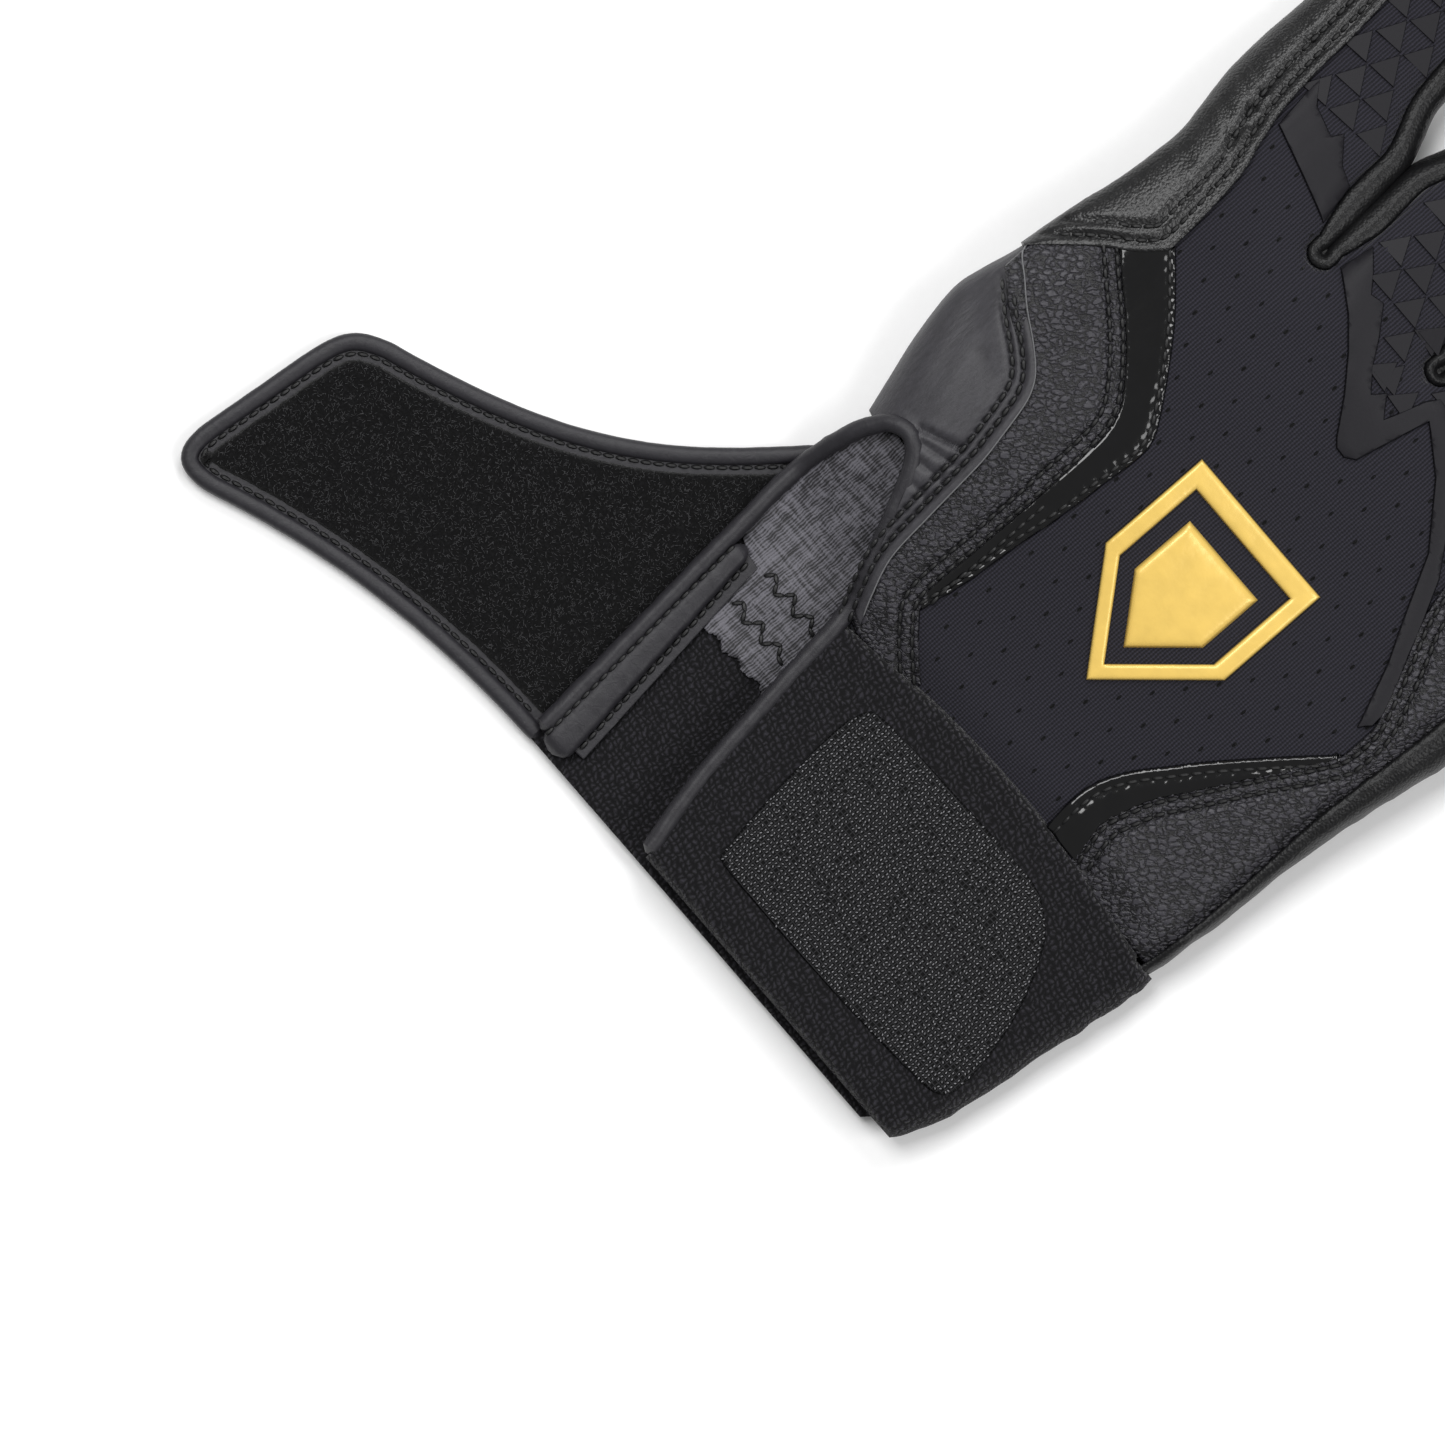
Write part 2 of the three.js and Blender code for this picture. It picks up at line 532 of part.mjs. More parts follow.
// Moulded rubber knuckle guards
const guardLift = SEAM_GAP + GUARD_THICKNESS;
const indexGuard = [hand(-40.6, 107.7), hand(-41.4, 117.5), hand(-38, 114.5), hand(-33.5, 113.4),
  hand(-27, 110.5), hand(-26, 103.2)];
add('index_knuckle_guard', drapedSheet(indexGuard, onBack(guardLift), GUARD_THICKNESS), 0x3a3a3f, 0.6);
const guardLower = [hand(-13.6, 97.4), hand(4.5, 80.6), hand(7, 79.6), hand(9.4, 81), hand(10.2, 83.5),
  hand(12.3, 94), hand(20, 89), hand(28.5, 80), hand(34, 70), hand(38, 63), hand(42.4, 53)];
const guardUpper = [hand(42.6, 58), hand(37, 67.5), hand(31.8, 79), hand(26, 87.5), hand(19.5, 94),
  hand(14, 97.8), hand(10.4, 95.4), hand(7, 86.5), hand(3, 91), hand(-4, 98), hand(-13.2, 104.5)];
add('main_knuckle_guard', drapedSheet([...guardLower, ...guardUpper], onBack(guardLift), GUARD_THICKNESS),
  0x3a3a3f, 0.6);

// Raised emblem: a plain home plate with a rim
const emblemCentre = hand(7.5, 43);
function homePlate(scale) {
  const half = EMBLEM_WIDTH / 2;
  const top = EMBLEM_HEIGHT / 2;
  const shoulder = -EMBLEM_HEIGHT * 0.05;
  const corners = [[-half, top], [half, top], [half, shoulder], [0, -top], [-half, shoulder]];
  return corners.map(([x, y]) => point(emblemCentre.x + x * scale, emblemCentre.y + y * scale));
}
const rimStep = (2 * EMBLEM_RIM) / EMBLEM_WIDTH;
const emblemLift = SEAM_GAP + EMBLEM_THICKNESS;
add('emblem_rim', drapedSheet(homePlate(1), onBack(emblemLift), EMBLEM_THICKNESS, FACET,
  [homePlate(1 - rimStep).reverse()]), 0xe0bd62, 0.3, 0.6);
add('emblem_plate', drapedSheet(homePlate(1 - 2 * rimStep), onBack(emblemLift), EMBLEM_THICKNESS),
  0xe0bd62, 0.3, 0.6);

// Hook patch on the cuff
const hookLeft = -11;
const hookFoot = 10.5;
const hookRight = hookLeft + HOOK_WIDTH;
const hookHead = hookFoot + HOOK_LENGTH;
const hookCorners = spline([point(hookLeft, hookFoot + 3), point(hookLeft - 2.3, hookHead - 4),
  point(hookLeft + 1, hookHead), point(hookRight - 15, hookHead), point(hookRight - 7, hookHead - 9),
  point(hookRight - 2.5, hookFoot + 5), point(hookRight - 5, hookFoot), point(hookLeft + 3, hookFoot)], 28);
const hookTop = CUFF_HEIGHT + SEAM_GAP + HOOK_THICKNESS;
add('hook_patch', drapedSheet(hookCorners, () => hookTop, HOOK_THICKNESS, HOOK_WIDTH), 0x1a1a1c, 0.9);

// Strap, lying open: leather below, loop pile above, rolled edge round three sides
function strapOutline() {
  const foot = point(ROOT_X, -1.8);
  const head = point(rootX(STRAP_ROOT_WIDTH), foot.y + STRAP_ROOT_WIDTH);
  const end = point(foot.x - STRAP_LENGTH, foot.y + STRAP_ROOT_WIDTH / 2 - STRAP_DROP);
  const half = STRAP_END_WIDTH / 2;
  const edge = new THREE.Path();
  edge.moveTo(foot.x, foot.y);
  edge.bezierCurveTo(foot.x - 28, foot.y - 0.4, foot.x - 48, foot.y - 6.2, end.x + 7.8, end.y - half);
  edge.quadraticCurveTo(end.x - 2.6, end.y - half - 2.6, end.x - 0.9, end.y - half + 8.8);
  edge.lineTo(end.x + 1.3, end.y + half - 9);
  edge.quadraticCurveTo(end.x + 2.3, end.y + half - 1.2, end.x + 9.3, end.y + half + 1.7);
  edge.bezierCurveTo(head.x - 21.8, head.y - 29, head.x - 11.8, head.y - 16.5, head.x, head.y);
  return edge;
}
const strapEdge = strapOutline().getPoints(16);
const besideRoot = (place) => point(Math.min(place.x, rootX(place.y) - SEAM_GAP), place.y);
const strapHeight = 2 * STRAP_ROLL_RADIUS;
const strapField = inset(strapEdge, 2 * (STRAP_ROLL_RADIUS + SEAM_GAP)).map(besideRoot);
const strapStack = STRAP_LEATHER + SEAM_GAP + STRAP_PILE;
const strapBase = (strapHeight - strapStack) / 2;
add('strap_leather', drapedSheet(strapField, () => strapBase + STRAP_LEATHER, STRAP_LEATHER, STRAP_LENGTH),
  0x2a2a2c, 0.5);
add('strap_loop_pile', drapedSheet(strapField, () => strapBase + strapStack, STRAP_PILE, STRAP_LENGTH),
  0x0c0c0d, 1);
const rollLine = inset(strapOutline().getPoints(64), STRAP_ROLL_RADIUS)
  .filter((place) => place.x < rootX(place.y) - SEAM_GAP - STRAP_ROLL_RADIUS);
const rollPath = new THREE.CatmullRomCurve3(
  rollLine.map((place) => new THREE.Vector3(place.x, place.y, STRAP_ROLL_RADIUS)));
add('strap_rolled_edge', rolledEdge(rollPath, STRAP_ROLL_RADIUS, 40), 0x2d2d30, 0.5);

// Height of the line about which the strap folds over, so that its pile meets the hooks when closed
export const foldHeight = (hookTop + SEAM_GAP + strapHeight) / 2;

export default glove;
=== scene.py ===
import functools
import math

import bmesh
import bpy
import numpy as np
from mathutils import Matrix, Vector, noise


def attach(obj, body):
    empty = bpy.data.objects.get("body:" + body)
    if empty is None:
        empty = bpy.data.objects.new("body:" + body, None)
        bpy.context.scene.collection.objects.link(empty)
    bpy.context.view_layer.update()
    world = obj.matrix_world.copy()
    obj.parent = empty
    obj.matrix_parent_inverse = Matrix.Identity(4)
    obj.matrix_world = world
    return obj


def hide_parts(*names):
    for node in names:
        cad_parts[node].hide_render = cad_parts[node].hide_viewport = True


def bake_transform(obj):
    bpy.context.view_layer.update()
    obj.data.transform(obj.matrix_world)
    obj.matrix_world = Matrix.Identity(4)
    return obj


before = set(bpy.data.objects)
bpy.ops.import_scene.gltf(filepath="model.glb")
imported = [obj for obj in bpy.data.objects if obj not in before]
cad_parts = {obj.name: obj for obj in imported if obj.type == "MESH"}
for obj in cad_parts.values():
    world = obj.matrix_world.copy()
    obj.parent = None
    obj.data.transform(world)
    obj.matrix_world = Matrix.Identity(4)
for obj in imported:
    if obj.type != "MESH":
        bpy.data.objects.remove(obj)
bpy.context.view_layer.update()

bl_info = {
    "name": "Batting glove",
    "version": (1, 0, 0),
    "blender": (4, 5, 0),
    "location": "View3D > Sidebar > Glove",
    "description": "Sews a right-hand batting glove, lying back up with its strap open",
    "category": "Add Mesh",
}

# Pattern sizes are in millimetres. Pattern points are (x, y): x towards the little finger, y towards
# the fingertips from the wrist edge of the cuff. make_piece turns them into metres in the frame.
MM = 0.001

# Form of the empty glove: lengths, heights and the stretches over which they change
CUFF_LENGTH = 50.0
CUFF_HEIGHT = 8.8
CUFF_ARCH = 4.0
CUFF_CORNER_X = 52.2
ELASTIC = 2.0
HAND_HEIGHT = 12.5
FINGER_HEIGHT = 10.0
THUMB_HEIGHT = 7.6
PALM_CLEARANCE = 0.5
BACK_RISE_OVER_THUMB = 4.0
EDGE_DROP = 2.0
CROWN_WIDTH = 14.0
CROWN_LENGTH = 25
SWELL_LENGTH = 55
KNUCKLE_FALL = (85, 125)
BACK_SLOPE = (-3, 42)
PALM_SLOPE = (1, 27)
CUFF_TUCK = 2.4

# Sheets: thicknesses, and heights at which they lie
LEATHER = 1.0
KNIT = 1.0
SYNTHETIC = 0.8
PATENT_SHEET = 0.8
GUARD_RUBBER = 0.9
HOOK_TAPE = 0.9
LINING_CLOTH = 0.7
GOLD_FILM = 0.8
STRAP_SHEET = 1.4
STRAP_PILE = 1.0
STRAP_FACE = 1.9
STRAP_ROW_INSET = 3.4
HEM_ROW_HEIGHT = 4.8
OVERLAY_RISE = 1.1

# Repeated details
STUD_RADII = (3.4, 3.0)
STUD_DEPTH = 0.8
STUD_ROW = 5
VENT_SIZE = (0.27, 0.6, 0.07)
HOOK_SIZE = (0.13, 0.24, 0.25)
HOOKS_MISSING = 0.06
FIBRE_COUNT = 17000

# Rolls, seams and walls
BINDING_RADIUS = 1.55
ROLL_WIDTH = 4.8
ROLL_WIDTH_AT_CROTCH = 2.6
UNDER_ROLL = 4.0
PALM_INSET = 0.2
PALM_HEEL = 50.3
WALL_WRINKLES = (5, 4, 5)
SEAM_DIP = 0.9
NEEDLE_HOLE = 0.6
CROTCH_GAP = 1.2
CROTCH_CREASE = 0.3
ROLLS_PART = (18, 31)

# Fingers and thumb
INDEX_BASE_X = -50.8
FINGERS = (
    {"base": 30.3, "tip": 25.0, "length": 76, "splay": -6.5, "root": 149, "starts": (142, 149.5),
     "stud_shift": (-0.4, 3.3)},
    {"base": 26.0, "tip": 23.0, "length": 84, "splay": -0.5, "root": 150, "starts": (149.5, 151.5),
     "stud_shift": (-0.2, 9.1)},
    {"base": 25.0, "tip": 22.0, "length": 78, "splay": 5.0, "root": 148, "starts": (151.5, 144.5),
     "stud_shift": (0, 4)},
    {"base": 24.0, "tip": 19.5, "length": 62, "splay": 11.0, "root": 144, "starts": (144.5, 122),
     "stud_shift": (0, 2)},
)
TIP_ROUNDNESS = 1.1
THUMB_WIDTH = 25.0
THUMB_LENGTH = 62.0
THUMB_TILT = 20.0
THUMB_ROOT = (-40.0, 93.0)

# Strap
ROOT_X = -46.8
ROOT_LEAN = 0.085
STRAP_ROLL = 1.5

# Scatter, the same each run
RANDOM = np.random.RandomState(7)

# Picture, in metres and degrees: its width and middle at the glove, and how far the glove lies turned in it
PICTURE_WIDTH = 0.2384
PICTURE_MIDDLE = (-0.0265, -0.0008, 0.009)
PICTURE_TURN = 41
# Camera, in its own millimetres
CAMERA_LENS = 200
CAMERA_SENSOR = 36


# Lines and patterns

def resample(line, spacing=1.0, count=None):
    """The same line with points at an even spacing, measured in plan."""
    steps = np.linalg.norm(np.diff(line[:, :2], axis=0), axis=1)
    run = np.concatenate([[0], np.cumsum(steps)])
    count = count or max(2, int(round(run[-1] / spacing)) + 1)
    marks = np.linspace(0, run[-1], count)
    return np.column_stack([np.interp(marks, run, line[:, k]) for k in range(line.shape[1])])


def curve(points, spacing=1.0):
    """A smooth line through a few pattern points."""
    given = np.array(points, float)
    ends = np.vstack([2 * given[0] - given[1], given, 2 * given[-1] - given[-2]])
    t = np.linspace(0, 1, 20, endpoint=False)[:, None]
    fine = []
    for a, b, c, d in zip(ends, ends[1:], ends[2:], ends[3:]):
        fine.append(b + 0.5 * t * (c - a + t * (2 * a - 5 * b + 4 * c - d + t * (3 * (b - c) + d - a))))
    return resample(np.vstack([*fine, given[-1:]]), spacing)


def bezier(start, leave, arrive, end, spacing=1.0):
    """A curve that leaves its start and arrives at its end along two handles."""
    t = np.linspace(0, 1, 60)[:, None]
    handles = np.array((start, leave, arrive, end), float)
    shares = ((1 - t) ** 3, 3 * t * (1 - t) ** 2, 3 * t ** 2 * (1 - t), t ** 3)
    return resample(sum(share * handle for share, handle in zip(shares, handles)), spacing)


def straight(points, spacing=1.0):
    """A line with corners, as points at about the spacing."""
    given = np.array(points, float)
    runs = [resample(np.array(pair), spacing)[:-1] for pair in zip(given, given[1:])]
    return np.vstack([*runs, given[-1:]])


def offset(line, distance):
    """The line moved to the right of its travel, by one distance or by one for each point."""
    travel = np.gradient(line, axis=0)
    travel /= np.linalg.norm(travel, axis=1)[:, None]
    return line + np.column_stack([travel[:, 1], -travel[:, 0]]) * np.reshape(distance, (-1, 1))


def at(line, share):
    """Points at shares of the line, counted by its points."""
    place = share * (len(line) - 1)
    return np.column_stack([np.interp(place, np.arange(len(line)), column) for column in line.T])


def part(line, low, high):
    """The stretch of a line between two heights along the hand."""
    return line[(line[:, 1] >= low) & (line[:, 1] <= high)]


def distance_to(line, places):
    """Distance from each place to the line."""
    run = np.diff(line, axis=0)
    kept = (run ** 2).sum(1) > 1e-9
    start, run = line[:-1][kept], run[kept]
    nearest = []
    for some in np.array_split(places, max(1, len(places) // 1500)):
        apart = some[:, None, :] - start
        share = np.clip((apart * run).sum(2) / (run ** 2).sum(1), 0, 1)
        nearest.append(np.linalg.norm(apart - share[..., None] * run, axis=2).min(1))
    return np.concatenate(nearest)


def inside(outline, places):
    """Which places lie inside a closed outline."""
    found = np.zeros(len(places), bool)
    for (ax, ay), (bx, by) in zip(outline, np.roll(outline, -1, axis=0)):
        if ay == by:
            continue
        crosses = (ay > places[:, 1]) != (by > places[:, 1])
        found ^= crosses & (places[:, 0] < ax + (bx - ax) * (places[:, 1] - ay) / (by - ay))
    return found


def smooth(value, low, high):
    """0 below low, 1 above high, and a soft step between."""
    t = np.clip((value - low) / (high - low), 0, 1)
    return t * t * (3 - 2 * t)


def finger_side(finger, side):
    """One side of a finger from its root to the middle of its tip; side is -1 for left, 1 for right."""
    shoulder = finger["centre"] + finger["across"] * side * finger["tip"] / 2
    turn = np.linspace(0, math.pi / 2, 14)[:, None]
    tip = finger["centre"] + finger["across"] * side * np.cos(turn) * finger["tip"] / 2
    tip = tip + finger["along"] * np.sin(turn) * finger["round"]
    start = (finger["left"], finger["starts"][0]) if side < 0 else (finger["right"], finger["starts"][1])
    return np.vstack([resample(np.array([start, shoulder]), 1.2)[:-1], tip])


def between(left, right):
    """The edge down one finger, round the crotch and up the next."""
    down, up = finger_side(left, 1)[::-1], finger_side(right, -1)
    bottom = left["starts"][1]
    for side, other, way in ((down, up.copy(), 1), (up, down[::-1].copy(), -1)):
        gap = way * (np.interp(side[:, 1], other[:, 1], other[:, 0]) - side[:, 0])
        height = side[:, 1] - bottom
        pressed_shut = 1 - smooth(height, *ROLLS_PART)
        side[:, 0] += way * (gap - CROTCH_CREASE + 1.1 * smooth(height, -0.5, 1.5)) / 2 * pressed_shut
    turn = np.linspace(math.pi, 2 * math.pi, 9)[1:-1]
    middle = (down[-1] + up[0]) / 2
    crotch = np.column_stack([np.cos(turn), np.sin(turn)]) * (up[0] - down[-1])[0] / 2 + middle
    return np.vstack([down, crotch, up])


def roll_width(edge):
    """Width of the rolled wall between two fingers, narrow at the crotch."""
    height = edge[:, 1] - edge[:, 1].min()
    return ROLL_WIDTH_AT_CROTCH + (ROLL_WIDTH - ROLL_WIDTH_AT_CROTCH) * smooth(height, -2, 11)


def lay_out_fingers():
    """Adds to each finger its place, direction and tip."""
    left = INDEX_BASE_X
    for finger in FINGERS:
        angle = math.radians(finger["splay"])
        finger["along"] = np.array([math.sin(angle), math.cos(angle)])
        finger["across"] = np.array([math.cos(angle), -math.sin(angle)])
        finger["left"] = left
        finger["right"] = left + finger["base"]
        finger["round"] = finger["tip"] / 2 * TIP_ROUNDNESS
        root = np.array([left + finger["base"] / 2, finger["root"]])
        finger["stud"] = root + finger["stud_shift"]
        finger["centre"] = root + finger["along"] * (finger["length"] - finger["round"])
        left = finger["right"] + CROTCH_GAP


lay_out_fingers()
INDEX, MIDDLE, RING, LITTLE = FINGERS
THUMB_EDGE = curve([
    (-49.6, 76.4), (-51.5, 82.5), (-53.9, 90.5), (-55.7, 100), (-55, 106), (-53.9, 111), (-53.1, 116)])
INDEX_EDGE = np.vstack([
    curve([(-53.9, 113.2), (-53.2, 120), (-52.5, 125.5), (-51.5, 131), (-50.9, 137), (-50.6, 145),
           (-51.7, 151), (-53, 158), (-53.6, 167), (-53.6, 176), (-54.2, 190), (-54.8, 203)], 0.9),
    part(finger_side(INDEX, -1), 204, 400)])
FINGER_GAPS = {
    "index_middle": between(INDEX, MIDDLE), "middle_ring": between(MIDDLE, RING),
    "ring_little": between(RING, LITTLE)}
LITTLE_EDGE = np.vstack([
    finger_side(LITTLE, 1)[::-1],
    curve([(57.2, 108), (55.6, 98.6), (54.2, 89), (53.4, 80), (52.8, 68), (51.8, 54), (51, 48)], 1.2)])
SILHOUETTE = resample(np.vstack([THUMB_EDGE, INDEX_EDGE, *FINGER_GAPS.values(), LITTLE_EDGE]), 2.0)

# Lines of the back, as sewn
SLIT = curve([(-18.4, 0.6), (-22, 16), (-25, 38), (-26.9, 52), (-31, 61.5), (-36.8, 73.5), (-40.2, 77.8),
              (-43.2, 78.6), (-46.6, 76.2), (-49, 70), (-50.1, 60), (-49, 45), (-46.9, 20), (-45.4, 0.8)])
THUMB_SEAM = curve([(-53.1, 116), (-52.6, 112.2), (-49, 109.4), (-45, 106.4), (-40, 103.4), (-36, 100.4),
                    (-34, 97.5), (-33, 94.5), (-32, 90), (-31, 85), (-30.5, 80), (-29.8, 72), (-28.8, 63),
                    (-26.2, 56.5), (-23.6, 51.6)])
RADIAL_EDGE = curve([(-43, 125.7), (-39, 122.6), (-34, 119), (-29, 115), (-24.3, 110.4), (-21.4, 106.4),
                     (-20, 101), (-19.7, 90), (-19.7, 75), (-19.7, 63), (-17, 59), (-13.5, 56), (-9.5, 53)])
RADIAL_TRIM_EDGE = curve([(-36.6, 131.6), (-33, 128.5), (-27.5, 123.5), (-22.5, 118), (-17.6, 112),
                          (-15, 108), (-14.4, 104), (-15, 95), (-15.5, 88), (-16.5, 80),
                          (-17.4, 70), (-18.9, 61)])
ULNAR_EDGE = curve([(28.3, 52.6), (26.5, 60), (27.5, 65), (29.2, 70), (32, 75), (35, 80.5), (38, 86),
                    (41, 91), (44.6, 97.6)])
ULNAR_TRIM_EDGE = curve([(21.4, 53), (20.8, 60), (21.5, 65), (23.8, 70), (27, 74.8), (30.5, 80), (35, 86),
                         (40, 92.4), (44.6, 98)])
ULNAR_TOP = curve([(44.6, 97.6), (44.5, 104), (42.6, 109), (39.6, 115.5), (36, 123), (34.2, 133), (38, 142)])


# Form of the empty glove

THUMB_ALONG = np.array([math.sin(math.radians(THUMB_TILT)), math.cos(math.radians(THUMB_TILT))])
THUMB_ACROSS = np.array([THUMB_ALONG[1], -THUMB_ALONG[0]])
THUMB_LINE = np.array([THUMB_ROOT, THUMB_ROOT + THUMB_ALONG * (THUMB_LENGTH - THUMB_WIDTH / 2)])


def thumb_distance(places):
    """How far a place lies outside the plan of the tucked thumb."""
    return distance_to(THUMB_LINE, places) - THUMB_WIDTH / 2


def palm_height(places):
    """Underside of the palm: on the table, and lifted over the thumb."""
    return (THUMB_HEIGHT + PALM_CLEARANCE) * (1 - smooth(thumb_distance(places), *PALM_SLOPE))


def undulation(places, size, depth):
    """Soft unevenness of cloth and leather that nothing stretches."""
    return np.array([noise.noise(Vector((x / size, y / size, size))) for x, y in places]) * depth


def back_height(places):
    """Outer face of the back: low at the cuff, high over the hand, crowned across hand and fingers."""
    along = places[:, 1] - CUFF_LENGTH
    swell = (HAND_HEIGHT - CUFF_HEIGHT) * smooth(along, 0, SWELL_LENGTH)
    fall = (HAND_HEIGHT - FINGER_HEIGHT) * smooth(along, *KNUCKLE_FALL)
    rise = BACK_RISE_OVER_THUMB * (1 - smooth(thumb_distance(places), *BACK_SLOPE))
    near_edge = 1 - np.minimum(distance_to(SILHOUETTE, places) / CROWN_WIDTH, 1)
    edge_fall = EDGE_DROP * near_edge ** 2 * smooth(along, 0, CROWN_LENGTH)
    tuck = CUFF_TUCK * (1 - smooth(along, -1, 9))
    return CUFF_HEIGHT + swell - fall + rise - edge_fall - tuck + undulation(places, 17, 0.35)


def pressed(places, lines, depth=0.5, width=0.8, pit=0.35):
    """Channels that rows of stitches draw into a surface, deepest at the needle holes."""
    sunk = np.zeros(len(places))
    for line in lines:
        holes = resample(line, sizes().stitch_pitch / MM)
        from_hole = np.linalg.norm(places[:, None] - holes, axis=2).min(1)
        sunk += (depth * np.exp(-(distance_to(line, places) / width) ** 2)
                 + pit * np.exp(-(from_hole / NEEDLE_HOLE) ** 2))
    return sunk


def index_seam_width(line):
    """Width of the index finger's side leather beyond the silhouette."""
    return np.interp(line[:, 1], [113.3, 125, 132, 150, 175, 210], [0.8, 9.5, 14.6, 11.6, 10, 8])


def little_seam_width(line):
    """Width of the little finger's side leather, at its tip that of the wall it meets there."""
    return 2.2 + 4.8 * smooth(line[:, 1], 55, 125) - 2.2 * smooth(line[:, 1], 188, 203)


def under_width(widths):
    """How far a side leather reaches under the palm."""
    return np.minimum(UNDER_ROLL, widths + 1)


def root_x(y):
    """The line along which the strap is sewn on."""
    return ROOT_X - ROOT_LEAN * y


INDEX_SEAM = offset(INDEX_EDGE, index_seam_width(INDEX_EDGE))
ROLL_SEAMS = [offset(edge, roll_width(edge)) for edge in FINGER_GAPS.values()]
LITTLE_SEAM = offset(LITTLE_EDGE, little_seam_width(LITTLE_EDGE))
THUMB_ROWS = [part(offset(THUMB_SEAM, distance), 40, 106.8) for distance in (1.9, 3.7)]
RADIAL_ROWS = [offset(RADIAL_EDGE, distance) for distance in (1.2, 3.3)]
INDEX_ROW_DISTANCES = (1.9, 4.2)
INDEX_CREASES = [curve(points) for points in (
    [(-52.6, 159.4), (-48, 157.6), (-43.4, 155)], [(-52.4, 162), (-48.6, 160.4), (-45, 158.6)],
    [(-51.6, 153.4), (-48, 152.6), (-44.4, 150.6)], [(-50.4, 143.5), (-46, 142.6)],
    [(-52.8, 172), (-48, 171.2)])]
INDEX_LIFT = 1.1
ULNAR_ROWS = [offset(np.vstack([ULNAR_EDGE, ULNAR_TOP[1:]]), distance) for distance in (1.3, 3.3)]


def index_row(distance):
    """A row of stitches on the index finger's side leather, a distance inside its cut edge."""
    widths = index_seam_width(INDEX_EDGE)
    kept = widths > distance + 0.2
    top = back_height(INDEX_SEAM) + INDEX_LIFT
    bottom = palm_height(INDEX_EDGE)
    rise = np.sqrt(1 - (distance / np.maximum(widths, distance)) ** 2)
    height = (top + bottom) / 2 + (top - bottom) / 2 * rise - 0.5
    return np.column_stack([offset(INDEX_SEAM, -distance), height])[kept]


INDEX_ROWS = [index_row(distance)[:, :2] for distance in INDEX_ROW_DISTANCES]


def knit_height(places):
    """The knit of the back, drawn down where it is sewn to the rolled walls."""
    seam = np.minimum.reduce([distance_to(line, places) for line in [*ROLL_SEAMS, LITTLE_SEAM]])
    ribs = undulation(places * (3.2, 0.35), 9, 0.25) * smooth(places[:, 1], 128, 142)
    return back_height(places) - SEAM_DIP * (1 - smooth(seam, 0, 2.8)) + ribs


def rounded(outline, places, thickness, radius=0.8):
    """Thickness of a sheet that thins to nothing at its cut edge."""
    near = np.clip(distance_to(np.vstack([outline, outline[:1]]), places) / radius, 0, 1)
    return thickness * np.sqrt(1 - (1 - near) ** 2)


# Mesh building

def mapped_grid(columns, rows, place):
    """A grid whose shares across and along go to places in pattern millimetres."""
    bm = bmesh.new()
    bmesh.ops.create_grid(bm, x_segments=columns, y_segments=rows, size=0.5)
    shares = np.array([vert.co.xy for vert in bm.verts]) + 0.5
    for vert, co in zip(bm.verts, place(shares[:, 0], shares[:, 1])):
        vert.co = co
    return bm


def cut_sheet(outline, step, height, rims=(0.3, 0.5)):
    """A pattern piece cut from the flat, sliced into small squares and draped at a height."""
    bm = bmesh.new()
    face = bm.faces.new([bm.verts.new((x, y, 0)) for x, y in outline])
    face.normal_update()
    if face.normal.z < 0:
        face.normal_flip()
    for rim in rims:
        bmesh.ops.inset_region(bm, faces=[face], use_boundary=True, thickness=rim)
    for axis in (0, 1):
        normal = Vector((1, 0, 0) if axis == 0 else (0, 1, 0))
        low, high = outline[:, axis].min(), outline[:, axis].max()
        for cut in np.arange(low + step / 2, high, step):
            everything = bm.verts[:] + bm.edges[:] + bm.faces[:]
            bmesh.ops.bisect_plane(bm, geom=everything, dist=1e-4, plane_co=normal * cut, plane_no=normal)
    return drape(bm, height)


def swept_roll(path, across, tall, sides=14, squareness=2.0):
    """A closed roll along a path of points; its section is an oval, or squarer, as wide as across says."""
    widths = np.broadcast_to(across, len(path)).reshape(-1, 1)
    travel = np.gradient(path, axis=0)
    travel /= np.linalg.norm(travel, axis=1)[:, None]
    beside = np.cross(travel, (0, 0, 1))
    beside /= np.linalg.norm(beside, axis=1)[:, None]
    above = np.cross(beside, travel)
    length = np.linalg.norm(np.diff(path, axis=0), axis=1).sum()

    def place(u, v):
        turn = u[:, None] * 2 * math.pi
        from_end = np.clip(np.minimum(v, 1 - v) * length / tall, 0, 1)
        cap = np.maximum(np.sqrt(1 - (1 - from_end) ** 2), 0.2)[:, None]
        right, up = (np.sign(swing) * np.abs(swing) ** (2 / squareness)
                     for swing in (np.cos(turn), np.sin(turn)))
        return at(path, v) + cap * (at(beside * widths, v) * right + at(above, v) * up * tall)

    bm = mapped_grid(sides, len(path) - 1, place)
    bmesh.ops.remove_doubles(bm, verts=bm.verts, dist=1e-4)
    bmesh.ops.holes_fill(bm, edges=bm.edges, sides=0)
    bmesh.ops.recalc_face_normals(bm, faces=bm.faces)
    return bm


def wrinkle(bm, size, depth):
    """Soft creases, moved along the normals; size is their extent along each axis."""
    bm.normal_update()
    for vert in bm.verts:
        place = Vector([co / extent for co, extent in zip(vert.co, size)])
        vert.co += vert.normal * (noise.noise(place) + 0.5 * noise.noise(place * 2.3)) * depth
        vert.co.z = max(vert.co.z, 0)
    return bm


